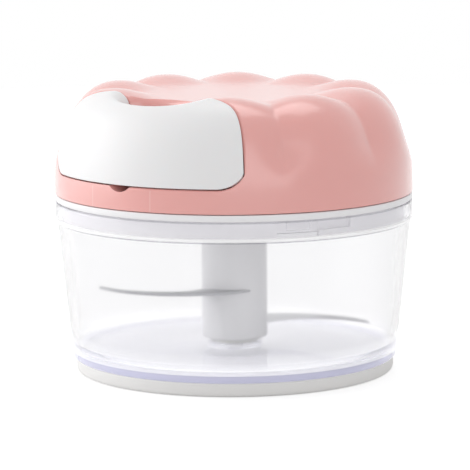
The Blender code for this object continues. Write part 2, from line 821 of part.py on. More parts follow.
def make_housing(material, parent):
    """Upturned can over the reel, with three screwed feet and the arbor."""
    inner = HOUSING_RADIUS - HOUSING_WALL
    arbor_bottom = reel_web_top + SEAT_GAP
    outline = [
        (0.0, ceiling_top),
        (0.0, ceiling_top - HOUSING_CEILING / 2),
        (axle_bore, ceiling_top - HOUSING_CEILING / 2),
        (axle_bore, arbor_bottom),
        (ARBOR_RADIUS, arbor_bottom),
        (ARBOR_RADIUS, ceiling_bottom),
        (inner, ceiling_bottom),
        (inner, housing_foot_bottom),
        (HOUSING_RADIUS, housing_foot_bottom),
        (HOUSING_RADIUS, ceiling_top - HOUSING_CEILING / 2),
        (HOUSING_RADIUS - HOUSING_CEILING / 2, ceiling_top),
    ]
    outline = outline[1:] + outline[:1]
    housing = finish("reel_housing", turned_shape(outline, MEDIUM_SEGMENTS), material, parent)
    feet = []
    for x, y in foot_places():
        direction = math.atan2(y, x)
        tab = prism_shape(
            [
                (HOUSING_RADIUS - HOUSING_WALL / 2, -HOUSING_FOOT_PAD),
                (housing_foot_radius, -HOUSING_FOOT_PAD),
            ]
            + arc_points((housing_foot_radius, 0.0), HOUSING_FOOT_PAD, -60.0, 60.0, 4)
            + [
                (housing_foot_radius, HOUSING_FOOT_PAD),
                (HOUSING_RADIUS - HOUSING_WALL / 2, HOUSING_FOOT_PAD),
            ],
            housing_foot_bottom,
            housing_foot_top,
        )
        feet.append(placed(tab, Matrix.Rotation(direction, 4, "Z")))
    combine(housing, finish("tool_housing_feet", add_shapes(feet)), "UNION")
    holes = [
        placed(
            turned_shape(
                plug_outline(screw_hole, housing_foot_bottom - FAR, housing_foot_top + FAR),
                TINY_SEGMENTS,
            ),
            Matrix.Translation((x, y, 0.0)),
        )
        for x, y in foot_places()
    ]
    guide_hole = cord_bore + GROMMET_WALL + SEAT_GAP
    holes.append(
        along_pull(
            turned_shape(plug_outline(guide_hole, -HOUSING_WALL * 2, HOUSING_WALL * 2), SMALL_SEGMENTS),
            guide_distance,
            cord_height,
        )
    )
    combine(housing, finish("tool_housing_holes", add_shapes(holes)))
    slot_length = ARBOR_RADIUS + FAR / 4
    slot = prism_shape(
        [
            (axle_bore / 2, -SPRING_STRIP / 2 - SEAT_GAP),
            (slot_length, -SPRING_STRIP / 2 - SEAT_GAP),
            (slot_length, SPRING_STRIP / 2 + SEAT_GAP),
            (axle_bore / 2, SPRING_STRIP / 2 + SEAT_GAP),
        ],
        arbor_bottom - SEAT_GAP,
        spring_bottom() + SPRING_WIDTH + SEAT_GAP,
    )
    combine(housing, finish("tool_arbor_slot", slot))
    return housing


def make_cord_guide(material, parent):
    """Eyelet in the housing wall, where the cord leaves the reel."""
    half = HOUSING_WALL / 2
    bore = cord_bore
    barrel = bore + GROMMET_WALL
    outline = [
        (bore, -half - SEAT_GAP),
        (barrel, -half - SEAT_GAP),
        (barrel, half + 2 * SEAT_GAP),
        (GUIDE_FLANGE_RADIUS, half + 2 * SEAT_GAP),
        (GUIDE_FLANGE_RADIUS, half + 2 * SEAT_GAP + GROMMET_FLANGE),
        (bore, half + 2 * SEAT_GAP + GROMMET_FLANGE),
    ]
    shape = along_pull(turned_shape(outline, SMALL_SEGMENTS), guide_distance, cord_height)
    return finish("cord_guide", shape, material, parent)


def make_cord_grommet(material, parent):
    """Flanged ring in the recess wall, where the cord meets the handle."""
    bore = cord_bore
    barrel = bore + GROMMET_WALL
    outline = [
        (bore, -GROMMET_FLANGE - SEAT_GAP),
        (GROMMET_FLANGE_RADIUS, -GROMMET_FLANGE - SEAT_GAP),
        (GROMMET_FLANGE_RADIUS, -SEAT_GAP),
        (barrel, -SEAT_GAP),
        (barrel, RECESS_WALL),
        (bore, RECESS_WALL),
    ]
    shape = along_pull(
        turned_shape(outline, SMALL_SEGMENTS), recess_apex - RECESS_WALL, cord_height
    )
    return finish("cord_grommet", shape, material, parent)


def make_axle(material, parent):
    """Steel axle through the arbor, the reel and the drive shaft's end."""
    top = ceiling_top - HOUSING_CEILING / 2 - SEAT_GAP
    bottom = shaft_top() - AXLE_OVERLAP
    outline = plug_outline(AXLE_RADIUS, bottom, top)
    return finish("reel_axle", turned_shape(outline, TINY_SEGMENTS * 2), material, parent)


def make_reel(material, parent):
    """Cord reel: two flanges, a hollow core for the spring, a ratchet cup."""
    cup_radius = REEL_CORE_RADIUS
    outline = [
        (axle_bore, reel_web_bottom),
        (RATCHET_TIP_RADIUS - SEAT_GAP, reel_web_bottom),
        (RATCHET_TIP_RADIUS - SEAT_GAP, reel_bottom),
        (cup_radius, reel_bottom),
        (cup_radius, reel_web_bottom),
        (reel_flange_radius, reel_web_bottom),
        (reel_flange_radius, reel_web_top),
        (REEL_CORE_RADIUS, reel_web_top),
        (REEL_CORE_RADIUS, reel_room_top),
        (reel_flange_radius, reel_room_top),
        (reel_flange_radius, reel_top),
        (spring_room, reel_top),
        (spring_room, reel_web_top),
        (axle_bore, reel_web_top),
    ]
    reel = finish("cord_reel", turned_shape(outline, MEDIUM_SEGMENTS), material, parent)
    combine(reel, finish("tool_ratchet", prism_shape(ratchet_outline(), reel_bottom - FAR / 4, reel_web_bottom)))
    return reel


def ratchet_outline():
    """Inside of the ratchet cup: each tooth has one square face and a ramp."""
    outline = []
    pitch = 2.0 * math.pi / RATCHET_TEETH
    for tooth in range(RATCHET_TEETH):
        start = tooth * pitch
        outline.append(polar(start, RATCHET_TIP_RADIUS))
        outline.append(polar(start + pitch * 0.8, RATCHET_ROOT_RADIUS))
        outline.append(polar(start + pitch, RATCHET_ROOT_RADIUS))
    return outline


def spring_bottom():
    """Underside height of the recoil spring."""
    return reel_web_top + 2 * SEAT_GAP


def spring_radius(share):
    """Radius of the spring's middle line, from its inner end to its outer."""
    inner = ARBOR_RADIUS + SEAT_GAP + SPRING_STRIP
    outer = spring_room - SEAT_GAP - SPRING_STRIP / 2
    return inner + (outer - inner) * share


def make_spring(material, parent):
    """Flat spiral recoil spring, hooked in the arbor's slot."""
    steps = SPRING_TURNS * 16
    middle = [(axle_bore + SPRING_STRIP, 0.0)]
    middle.append((ARBOR_RADIUS, 0.0))
    for step in range(1, steps + 1):
        share = step / steps
        angle = SPRING_TURNS * 2.0 * math.pi * share
        radius = spring_radius(share)
        middle.append((radius * math.cos(angle), radius * math.sin(angle)))
    bottom = spring_bottom()
    top = bottom + SPRING_WIDTH
    sections = []
    for index, point in enumerate(middle):
        before = Vector(middle[max(index - 1, 0)])
        after = Vector(middle[min(index + 1, len(middle) - 1)])
        side = (after - before).normalized().orthogonal() * SPRING_STRIP / 2
        left = Vector(point) + side
        right = Vector(point) - side
        sections.append(
            [(*left, bottom), (*right, bottom), (*right, top), (*left, top)]
        )
    return finish("recoil_spring", loft_shape(sections), material, parent)


def make_spring_lid(material, parent):
    """Ring that keeps the spring in the reel's core."""
    outline = ring_outline(
        ARBOR_RADIUS + RUNNING_GAP,
        spring_room - SEAT_GAP,
        reel_top - SEAT_GAP - SPRING_LID,
        reel_top - SEAT_GAP,
    )
    return finish("spring_lid", turned_shape(outline, MEDIUM_SEGMENTS), material, parent)


def tangent_angle():
    """Direction from the reel's axis to the point where the cord leaves."""
    return math.radians(-90.0) + math.acos(winding_radius / cord_bend)


def make_winding(material, parent):
    """Cord on the reel: one layer, wound downwards from the free end."""
    steps = round(CORD_TURNS * 20)
    points = []
    for step in range(steps + 1):
        turned = CORD_TURNS * 2.0 * math.pi * step / steps
        angle = tangent_angle() + turned
        height = cord_height - CORD_PITCH * turned / (2.0 * math.pi)
        points.append(
            (winding_radius * math.cos(angle), winding_radius * math.sin(angle), height)
        )
    print("cord winding: gap between turns", round((CORD_PITCH - 2 * CORD_RADIUS) * 1000, 3), "mm")
    return make_tube("cord_winding", points, CORD_RADIUS, 1, material, parent)


def make_cord_lead(material, parent):
    """Cord from the reel, round the bend and out through both eyelets."""
    leave = Vector((*polar(tangent_angle(), winding_radius), cord_height))
    bend = Vector((0.0, -cord_bend, cord_height))
    end = Vector((0.0, -knot_face + SEAT_GAP, cord_height))
    run = (bend - leave).normalized()
    points = [leave + run * SEAT_GAP, bend - run * CORD_RADIUS * 2]
    points.append(bend - run * CORD_RADIUS / 2 + Vector((0.0, -CORD_RADIUS / 2, 0.0)))
    points.append(bend + Vector((0.0, -CORD_RADIUS * 2, 0.0)))
    points.append(end)
    return make_tube("cord_lead", points, CORD_RADIUS, 2, material, parent)


def make_tube(name, points, radius, resolution, material, parent):
    """Round tube along a row of points, as a curve with filled ends."""
    curve = bpy.data.curves.new(name, "CURVE")
    curve.dimensions = "3D"
    spline = curve.splines.new("POLY")
    spline.points.add(len(points) - 1)
    for point, place in zip(spline.points, points):
        point.co = (*place, 1.0)
    curve.bevel_depth = radius
    curve.bevel_resolution = resolution
    curve.use_fill_caps = True
    curve.materials.append(material)
    tube = bpy.data.objects.new(name, curve)
    bpy.context.collection.objects.link(tube)
    tube.parent = parent
    tube.matrix_parent_inverse = Matrix.Translation(-parent.location)
    return tube


def shaft_top():
    """Upper end of the drive shaft, just under the reel's web."""
    return reel_web_bottom - SEAT_GAP


def make_drive_shaft(material, parent):
    """Shaft with a three-lobed dog below and a hexagon for the clutch above."""
    dog_top = shoulder_bottom
    dog_bottom = dog_top - DOG_LENGTH
    journal_top = rotor_bottom - SEAT_GAP
    outline = [
        (0.0, dog_bottom),
        (DOG_HUB_RADIUS - SEAT_GAP, dog_bottom),
        (DOG_HUB_RADIUS, dog_bottom + SEAT_GAP),
        (DOG_HUB_RADIUS, dog_top),
        (SHAFT_SHOULDER_RADIUS, dog_top),
        (SHAFT_SHOULDER_RADIUS, dog_top + SHAFT_SHOULDER),
        (SHAFT_RADIUS, dog_top + SHAFT_SHOULDER),
        (SHAFT_RADIUS, journal_top),
        (0.0, journal_top),
    ]
    shaft = finish("drive_shaft", turned_shape(outline, SMALL_SEGMENTS), material, parent)
    lobes = [
        sector_shape(
            DOG_HUB_RADIUS / 2,
            DOG_LOBE_RADIUS,
            DOG_REST_LEAD + 2.0 * math.pi * index / DOG_COUNT,
            DOG_LOBE_ANGLE,
            dog_bottom + SEAT_GAP,
            dog_top + SHAFT_SHOULDER / 2,
        )
        for index in range(DOG_COUNT)
    ]
    for index, lobe in enumerate(lobes):
        combine(shaft, finish("tool_dog_lobe_" + str(index + 1), lobe), "UNION")
    hexagon = prism_shape(
        circle_points(ROTOR_HEX_RADIUS, 6), journal_top - SEAT_GAP, shaft_top()
    )
    combine(shaft, finish("tool_shaft_hexagon", hexagon), "UNION")
    bore = turned_shape(
        plug_outline(axle_bore, shaft_top() - AXLE_OVERLAP - SEAT_GAP, shaft_top() + FAR),
        TINY_SEGMENTS * 2,
    )
    combine(shaft, finish("tool_shaft_bore", bore))
    return shaft


def make_clutch_rotor(material, parent):
    """Hub with springy pawl arms that catch the reel's ratchet one way."""
    outline = []
    tooth = 2.0 * math.pi / RATCHET_TEETH
    pitch = 2.0 * math.pi / PAWL_COUNT
    tip = RATCHET_ROOT_RADIUS - RUNNING_GAP
    neck = RATCHET_TIP_RADIUS - RUNNING_GAP
    for index in range(PAWL_COUNT):
        end = index * pitch - SEAT_GAP / RATCHET_TIP_RADIUS
        start = end - PAWL_SWEEP
        arm = []
        for step in range(6):
            share = step / 5
            radius = ROTOR_HUB_RADIUS + (neck - ROTOR_HUB_RADIUS) * math.sin(share * math.pi / 2)
            arm.append((start + (end - tooth - start) * share, radius))
        arm += [(end - tooth / 5, tip), (end, tip)]
        inside = [(angle, radius - PAWL_THICKNESS) for angle, radius in reversed(arm)]
        inside = [(angle, radius) for angle, radius in inside if radius > ROTOR_HUB_RADIUS]
        outline += [polar(angle, radius) for angle, radius in arm + inside]
        root = inside[-1][0] + SEAT_GAP / ROTOR_HUB_RADIUS
        outline += [
            polar(root + (start + pitch - root) * share, ROTOR_HUB_RADIUS)
            for share in (0.0, 0.25, 0.5, 0.75)
        ]
    rotor = finish(
        "clutch_rotor",
        prism_shape(outline, rotor_bottom, rotor_bottom + ROTOR_THICKNESS),
        material,
        parent,
    )
    hexagon = prism_shape(
        circle_points(ROTOR_HEX_RADIUS + SEAT_GAP / math.cos(math.pi / 6), 6),
        rotor_bottom - FAR,
        rotor_bottom + FAR,
    )
    combine(rotor, finish("tool_rotor_bore", hexagon))
    return rotor


# Cover and handle


def shoulder(side_radius, crest_radius, bottom, top, steps):
    """Dome section from the bottom edge up to the crest, as a superellipse."""
    power = 2.0 / SHOULDER_POWER
    points = []
    for step in range(steps + 1):
        angle = math.radians(90.0) * step / steps
        across = math.cos(angle) ** power if step < steps else 0.0
        points.append(
            (
                crest_radius + (side_radius - crest_radius) * across,
                bottom + (top - bottom) * math.sin(angle) ** power,
            )
        )
    return points


def cover_section():
    """Crest line of the cover, from its bottom edge to the flat disc."""
    points = shoulder(cover_radius, CREST_RADIUS, cover_bottom, cover_top, 11)
    for step in (1, 2, 3, 4):
        share = step / 4
        radius = CREST_RADIUS + (DISC_RADIUS - CREST_RADIUS) * share
        points.append((radius, cover_top - CREST_RISE * smooth_step(share)))
    return points


def petal_lobe(angle):
    """Height of the petals round the cover: 1 on a crest, 0 in a crease."""
    from_handle = math.remainder(angle + math.pi / 2, 2.0 * math.pi)
    if abs(from_handle) < math.pi / PETAL_COUNT:
        return 0.0
    return abs(math.cos(PETAL_COUNT * (angle - math.pi / 2) / 2))


def petal_share(radius, height):
    """Share of the full petal depth at one place of the section."""
    rise = (height - cover_bottom - PETAL_START) / (PETAL_FULL - PETAL_START)
    inward = (radius - DISC_RADIUS) / (CREST_RADIUS - DISC_RADIUS)
    return smooth_step(rise) * smooth_step(inward)


def cover_shape():
    """Outside of the cover as a closed body, with its petals."""
    section = cover_section()
    segments = PETAL_COUNT * PETAL_SEGMENTS
    shape = bmesh.new()
    rings = []
    for index, (radius, height) in enumerate(section):
        before = Vector(section[max(index - 1, 0)])
        after = Vector(section[min(index + 1, len(section) - 1)])
        along = (after - before).normalized()
        depth = PETAL_DEPTH * petal_share(radius, height)
        ring = []
        for step in range(segments):
            angle = 2.0 * math.pi * step / segments + math.pi / 2
            sink = depth * (1.0 - petal_lobe(angle))
            out = radius - sink * along.y
            ring.append(
                shape.verts.new((out * math.cos(angle), out * math.sin(angle), height + sink * along.x))
            )
        rings.append(ring)
    for low, high in zip(rings, rings[1:]):
        for step in range(segments):
            after = (step + 1) % segments
            shape.faces.new((low[step], low[after], high[after], high[step]))
    shape.faces.new(reversed(rings[0]))
    shape.faces.new(rings[-1])
    return shape


def recess_back(offset, x):
    """Distance of the recess's back wall, curved and rounded at its sides, from the axis."""
    back = recess_apex + offset + RECESS_BACK_RADIUS - math.sqrt(RECESS_BACK_RADIUS**2 - x * x)
    round_radius = RECESS_SIDE_ROUND - offset
    past = min(max(abs(x) - RECESS_HALF_WIDTH + RECESS_SIDE_ROUND, 0.0), round_radius)
    return back + round_radius - math.sqrt(round_radius**2 - past * past)


def recess_shape(inset):
    """Room of the handle in the cover, drawn in by an inset on every side."""
    half = RECESS_HALF_WIDTH - inset
    corner = RECESS_CORNER - inset
    floor = recess_floor + inset
    straight = half - corner
    stations = [(-half + corner * (1.0 - math.cos(turn)), turn) for turn in corner_turns()]
    across = 11
    edge = [(x, floor + corner * (1.0 - math.sin(turn))) for x, turn in stations]
    edge += [(-straight + 2 * straight * step / across, floor) for step in range(1, across)]
    edge += [(-x, floor + corner * (1.0 - math.sin(turn))) for x, turn in reversed(stations)]
    top = cover_top + FAR
    front = cover_radius + FAR
    sections = []
    for x, bottom in edge:
        back = recess_back(inset, x)
        sections.append([(x, -back, bottom), (x, -front, bottom), (x, -front, top), (x, -back, top)])
    return loft_shape(sections)


def corner_turns():
    """Turns of the stations round a recess corner, from upright to level."""
    return [math.radians(angle) for angle in (0.0, 22.0, 44.0, 66.0, 90.0)]


def dome_height(radius):
    """Height of the dome's crest line at a distance from the axis."""
    section = cover_section()
    for (outer, low), (inner, high) in zip(section, section[1:]):
        if inner <= radius <= outer:
            return low + (high - low) * (outer - radius) / (outer - inner)
    return disc_top


def pocket_ring(grow, flare):
    """Points (x, y) round the pocket, at a share of its flare."""
    side = POCKET_HALF_WIDTH + grow + POCKET_END_FLARE * flare
    ring = []
    for x, y in circle_points(1.0, 40):
        reach = POCKET_FRONT if y < 0.0 else POCKET_REAR
        ring.append((x * side, -POCKET_CENTRE + y * (reach + grow + POCKET_LIP * flare)))
    return ring


def pocket_shape(grow, floor):
    """Finger pocket: an oval well whose sides roll out to the dome's surface."""
    lip_bottom = disc_top - POCKET_LIP_DROP
    levels = ((floor, -POCKET_FLOOR_ROUND), (floor + POCKET_FLOOR_ROUND, 0.0), (lip_bottom, 0.0))
    sections = [
        [(x, y, height) for x, y in pocket_ring(grow + spread, 0.0)] for height, spread in levels
    ]
    rim = [dome_height(math.hypot(x, y)) for x, y in pocket_ring(grow, 1.0)]
    for share in (0.5, 0.75, 0.93, 1.0):
        ring = pocket_ring(grow, 1.0 - math.sqrt(1.0 - share * share))
        sections.append(
            [(x, y, lip_bottom + (top - lip_bottom) * share) for (x, y), top in zip(ring, rim)]
        )
    sections.append([(x, y, cover_top + FAR) for x, y in pocket_ring(grow, 1.0)])
    return loft_shape(sections)


def make_cover(material, parent):
    """Petal cover: moulded shell with the handle recess and finger pocket."""
    cover = finish("petal_cover", cover_shape(), material, parent)
    combine(cover, finish("tool_thumb_notch", thumb_notch_shape()))
    cavity_top = disc_top - COVER_WALL
    crest = CREST_RADIUS - COVER_WALL
    cavity_outline = [(0.0, cover_bottom - FAR), (cover_inner, cover_bottom - FAR)]
    cavity_outline += shoulder(cover_inner, crest, cover_bottom, cavity_top, 7)
    cavity_outline.append((0.0, cavity_top))
    cavity = finish("tool_cavity", turned_shape(cavity_outline, MEDIUM_SEGMENTS))
    combine(cavity, finish("tool_recess_wall", recess_shape(-RECESS_WALL)))
    combine(cavity, finish("tool_pocket_wall", pocket_shape(RECESS_WALL, pocket_floor - RECESS_WALL)))
    combine(cover, cavity)
    bosses = [
        placed(
            turned_shape(
                plug_outline(COVER_BOSS_RADIUS, pad_top + SEAT_GAP, cavity_top + COVER_WALL / 2),
                TINY_SEGMENTS,
            ),
            Matrix.Translation((x, y, 0.0)),
        )
        for x, y in boss_places()
    ]
    combine(cover, finish("tool_cover_bosses", add_shapes(bosses)), "UNION")
    combine(cover, finish("tool_recess", recess_shape(0.0)))
    combine(cover, finish("tool_pocket", pocket_shape(0.0, pocket_floor)))
    holes = [
        placed(
            turned_shape(
                plug_outline(screw_hole, pad_top - FAR / 4, screw_tip() + SEAT_GAP), TINY_SEGMENTS
            ),
            Matrix.Translation((x, y, 0.0)),
        )
        for x, y in boss_places()
    ]
    grommet_hole = cord_bore + GROMMET_WALL + SEAT_GAP
    holes.append(
        along_pull(
            turned_shape(plug_outline(grommet_hole, -RECESS_WALL, RECESS_WALL), SMALL_SEGMENTS),
            recess_apex - RECESS_WALL / 2,
            cord_height,
        )
    )
    combine(cover, finish("tool_cover_holes", add_shapes(holes)))
    return cover


def thumb_notch_shape():
    """Half-round notch in the sill under the middle of the handle."""
    half = THUMB_NOTCH_WIDTH / 2
    radius = (half * half + THUMB_NOTCH_DEPTH**2) / (2 * THUMB_NOTCH_DEPTH)
    centre = recess_floor - THUMB_NOTCH_DEPTH + radius
    sweep = math.degrees(math.asin(half * 1.1 / radius))
    half = radius * math.sin(math.radians(sweep))
    arc = arc_points((0.0, centre), radius, -90.0 - sweep, -90.0 + sweep, 7)
    top = recess_floor + THUMB_NOTCH_DEPTH
    outline = arc + [(half, top), (-half, top)]
    shape = prism_shape(outline, -THUMB_NOTCH_REACH, FAR)
    return placed(
        shape,
        Matrix.Translation((0.0, -cover_radius, 0.0)) @ Matrix.Rotation(math.radians(90.0), 4, "X"),
    )


def screw_tip():
    """Upper end of the screws that hold the cover."""
    return deck_bottom + SCREW_HEAD + SCREW_LENGTH


def make_handle_grip(material, parent):
    """Handle's outer shell: follows the dome, with the finger dip in its top."""
    section = shoulder(cover_radius, CREST_RADIUS, cover_bottom, cover_top, 11)
    outline = [(0.0, cover_bottom)] + section + [(0.0, cover_top)]
    segments = PETAL_COUNT * PETAL_SEGMENTS
    grip = finish("handle_grip", turned_shape(outline, segments), material, parent)
    combine(grip, finish("tool_grip_room", recess_shape(HANDLE_GAP)), "INTERSECT")
    combine(grip, finish("tool_finger_dip", pocket_shape(0.0, pocket_floor)))
    plate_room = plate_shape(SEAT_GAP)
    combine(grip, finish("tool_plate_room", plate_room))
    pocket = turned_shape(
        plug_outline(KNOT_RADIUS + SEAT_GAP, -FAR / 4, KNOT_LENGTH + SEAT_GAP), TINY_SEGMENTS
    )
    combine(grip, finish("tool_knot_room", along_pull(pocket, knot_face, cord_height)))
    return grip


def plate_shape(grow):
    """Curved plate that closes the handle's back, or the room it needs."""
    half = BACK_PLATE_HALF_WIDTH + grow
    middle = (recess_floor + HANDLE_GAP + pocket_floor) / 2
    bottom = middle - BACK_PLATE_HEIGHT / 2 - grow
    top = middle + BACK_PLATE_HEIGHT / 2 + grow
    back_grow = FAR / 2 if grow else 0.0
    sections = []
    steps = 12
    for step in range(steps + 1):
        x = -half + 2 * half * step / steps
        back = recess_back(HANDLE_GAP, x)
        front = back + BACK_PLATE_THICKNESS + grow
        back -= back_grow
        sections.append([(x, -back, bottom), (x, -front, bottom), (x, -front, top), (x, -back, top)])
    return loft_shape(sections)


def make_handle_back(material, parent):
    """Plate that holds the cord's knot inside the handle."""
    plate = finish("handle_back", plate_shape(0.0), material, parent)
    bore = turned_shape(plug_outline(cord_bore, -FAR / 2, FAR / 2), TINY_SEGMENTS)
    combine(plate, finish("tool_plate_bore", along_pull(bore, knot_face, cord_height)))
    return plate


def make_cord_knot(material, parent):
    """Cord stop inside the handle."""
    edge = KNOT_RADIUS / 3
    outline = [(0.0, 0.0)]
    outline += arc_points((KNOT_RADIUS - edge, edge), edge, -90.0, 0.0, 2)
    outline += arc_points((KNOT_RADIUS - edge, KNOT_LENGTH - edge), edge, 0.0, 90.0, 2)
    outline.append((0.0, KNOT_LENGTH))
    shape = along_pull(turned_shape(outline, TINY_SEGMENTS), knot_face, cord_height)
    return finish("cord_knot", shape, material, parent)


def build():
    """Make every piece under its group's empty."""
    pink = plastic("pink_gloss", (0.85, 0.46, 0.42), 0.25)
    white = plastic("white_gloss", (0.86, 0.86, 0.86), 0.3)
    clear = plastic("clear_plastic", (0.93, 0.94, 0.97), 0.05, alpha=0.35)
    rubber = plastic("white_rubber", (0.74, 0.74, 0.73), 0.6)
    silicone = plastic("silicone", (0.82, 0.82, 0.84), 0.5, alpha=0.8)
    tube_white = plastic("tube_plastic", (0.78, 0.78, 0.79), 0.4)
    acetal = plastic("acetal", (0.88, 0.88, 0.85), 0.4)
    steel = plastic("steel", (0.62, 0.62, 0.64), 0.25, 1.0)
    cord = plastic("cord_braid", (0.9, 0.9, 0.89), 0.8)

    lift = group_empty("lid_lift_axis")
    lid = group_empty("lid_turn_axis")
    bush = group_empty("blade_lift_axis")
    blades = group_empty("blade_spin_axis")
    reel = group_empty("reel_spin_axis")
    drive = group_empty("drive_spin_axis")
    handle = group_empty("pull_start", (0.0, -knot_face, cord_height))

    make_base(rubber)
    make_bowl(clear)
    make_pivot_pin(steel)
    make_pivot_bush(acetal, bush)
    make_blade_tube(tube_white, blades)
    make_blade("lower_blade", 0, LOWER_BLADE_ANGLE, steel, blades)
    make_blade("upper_blade", 1, UPPER_BLADE_ANGLE, steel, blades)

    make_seal(silicone, lift)
    make_lid_base(white, lid)
    make_underside_cover(white, lid)
    make_shaft_bush(acetal, lid)
    make_housing(white, lid)
    make_cord_guide(steel, lid)
    make_cord_grommet(acetal, lid)
    make_axle(steel, lid)
    make_spring(steel, lid)
    make_cover(pink, lid)
    for index, place in enumerate(boss_places(), 1):
        make_screw("cover_screw_" + str(index), place, deck_bottom, True, steel, lid)
    head_level = housing_foot_top + SEAT_GAP + SCREW_HEAD
    for index, place in enumerate(foot_places(), 1):
        make_screw("housing_screw_" + str(index), place, head_level, False, steel, lid)

    make_reel(white, reel)
    make_spring_lid(acetal, reel)
    make_winding(cord, reel)
    make_drive_shaft(acetal, drive)
    make_clutch_rotor(acetal, drive)

    make_handle_grip(white, handle)
    make_handle_back(white, handle)
    make_cord_knot(acetal, handle)
    make_cord_lead(cord, handle)


clear_scene()
build()
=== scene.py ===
import math

import bmesh
import bpy
import numpy as np
from mathutils import Matrix, Vector


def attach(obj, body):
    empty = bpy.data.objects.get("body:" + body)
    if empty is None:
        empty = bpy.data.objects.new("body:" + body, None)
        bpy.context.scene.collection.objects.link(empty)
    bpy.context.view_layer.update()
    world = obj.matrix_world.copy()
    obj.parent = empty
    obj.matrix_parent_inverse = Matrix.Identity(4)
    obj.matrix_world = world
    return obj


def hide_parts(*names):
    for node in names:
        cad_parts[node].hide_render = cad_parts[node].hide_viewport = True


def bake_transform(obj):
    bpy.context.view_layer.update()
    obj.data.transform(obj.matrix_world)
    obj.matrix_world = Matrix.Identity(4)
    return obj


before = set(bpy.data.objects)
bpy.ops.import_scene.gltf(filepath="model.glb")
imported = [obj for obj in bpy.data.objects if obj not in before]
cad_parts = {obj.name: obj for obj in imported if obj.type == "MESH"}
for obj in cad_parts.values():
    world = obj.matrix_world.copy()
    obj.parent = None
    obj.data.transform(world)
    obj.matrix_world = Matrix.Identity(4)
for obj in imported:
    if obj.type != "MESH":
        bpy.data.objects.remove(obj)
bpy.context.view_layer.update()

# Sizes in metres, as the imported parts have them. Only the handle's recess differs, by up to
# 0.5 mm, because it follows the photographed outline.

CLEARANCE = 0.0003  # gap between pieces that seat on each other
SINK = 0.0003  # how far a joined form sinks into its carrier
FAR = 0.02  # how far a cutter runs past what it cuts
BELOW = 0.03  # height well below the lid, where a cutter starts
ROUND = 192  # segments of a round piece
LUGS = 3
LOCK_START, LOCK_TURN = math.radians(88.8), math.radians(15.0)

# Bowl
BOWL_BOTTOM, FLOOR_TOP, COLLAR_LOW, LEDGE, COLLAR_TOP = 0.0044, 0.0072, 0.0493, 0.05, 0.0558
FOOT_R, TOP_R, COLLAR_R, COLLAR_IN, LEDGE_IN = 0.0527, 0.0573, 0.058, 0.0562, 0.0541
FOOT_WALL, FOOT_BEND, FLOOR_CORNER, COLLAR_STEP = 0.0022, 0.0098, 0.0022, 0.0004
HOLLOW_R, HOLLOW_TOP = 0.0458, 0.0055
BOSS_R, BOSS_TOP = 0.009, 0.0088
PIN_R, PIN_DEPTH = 0.0025, 0.0026
LUG_IN, LUG_W, LUG_H = 0.055, 0.0078, 0.0031
LUG_ROOT, LUG_ROUND, LUG_GAP = 0.0009, 0.0004, 0.0004

# Base pad
BASE_R, BASE_TOP = 0.0518, 0.00438
TREAD_IN, TREAD_FOOT, TREAD_H = 0.0423, 0.043, 0.0007
BASE_PLUG_R, BASE_PLUG_TOP = 0.04575, 0.0054

# Lid base and seal
SLOT_W, SLOT_PAST = 0.0141, 0.0009
TRACK_IN, TRACK_OVER, TRACK_UNDER = 0.00025, 0.00015, 0.0004
FLANGE_LOW, FLANGE_TOP, RIM_TOP = 0.0561, 0.0582, 0.06
RIM_R, RIM_IN, DECK_R = 0.0558, 0.0541, 0.0536
SKIRT_R, SKIRT_LOW, GROOVE_DEPTH, GROOVE_TOP = 0.0559, 0.0503, 0.0009, 0.0518
PLUG_OUT, PLUG_IN, PLUG_LOW = 0.0522, 0.05, 0.0496
DECK_LOW, DECK_TOP, SHAFT_HOLE_R = 0.0509, 0.053, 0.0063
SEAL_TOP, SEAL_OUT, SEAL_IN = 0.0517, 0.0547, 0.0525

# Posts, bosses and holes of the screws, at angles in degrees
COVER_SCREWS, COVER_SCREW_R = (54.0, 126.0, 198.0, 342.0), 0.045
COVER_POST_R, COVER_POST_TOP = 0.0048, 0.055
COVER_BOSS_R, COVER_BOSS_LOW, COVER_BOSS_TOP = 0.0034, 0.0553, 0.0892
HOUSING_SCREWS, HOUSING_SCREW_R = (0.0, 120.0, 240.0), 0.0335
HOUSING_POST_R, HOUSING_POST_TOP, HOUSING_HOLE_LOW = 0.0042, 0.057, 0.0504
SCREW_HOLE_R = 0.0016
HEAD_R, HEAD_LOW, HEAD_SEAT = 0.0029, 0.031, 0.002

# Dome of the petal cover
COVER_R, COVER_LOW, COVER_TOP, WALL = 0.0581, 0.0585, 0.0928, 0.002
CREST_R, DISC_R, DISC_TOP = 0.039, 0.024, 0.0902
POWER = 2.0 / 2.5
PETALS, PETAL_DEPTH, PETAL_SOFT = 10, 0.0025, 0.035
PETAL_START, PETAL_FULL = 0.067, 0.0799
COVER_SEGMENTS, HANDLE_SEGMENTS = 400, 320

# Recess, finger pocket, thumb notch and handle
RECESS_HALF, RECESS_FLOOR, RECESS_CORNER = 0.0384, 0.0658, 0.0074
RECESS_APEX, BACK_R, RECESS_WALL = 0.0355, 0.18, 0.0022
SIDE_HALF, SIDE_ROUND = 0.0439, 0.016
HANDLE_GAP = 0.0004
POCKET_O, POCKET_HALF, POCKET_FRONT, POCKET_REAR = 0.0377, 0.0135, 0.0088, 0.007
POCKET_FLOOR, POCKET_LIP, POCKET_LIP_DROP, POCKET_ROUND = 0.0772, 0.0028, 0.0028, 0.002
POCKET_END, POCKET_SHIFT = 0.0065, 0.0006
POCKET_FLARED, POCKET_THROAT = 0.9995, 0.97  # shares: the flare's last rise, the room above it
NOTCH_HALF, NOTCH_DEPTH, NOTCH_MOUTH, NOTCH_RISE, NOTCH_BACK = 0.004, 0.0017, 0.0044, 0.001, 0.013
COVER_EDGE_BEHIND, COVER_EDGE_BELOW = 0.001, 0.0008
HANDLE_EDGE_BEHIND, HANDLE_EDGE_BELOW = 0.0004, 0.0003
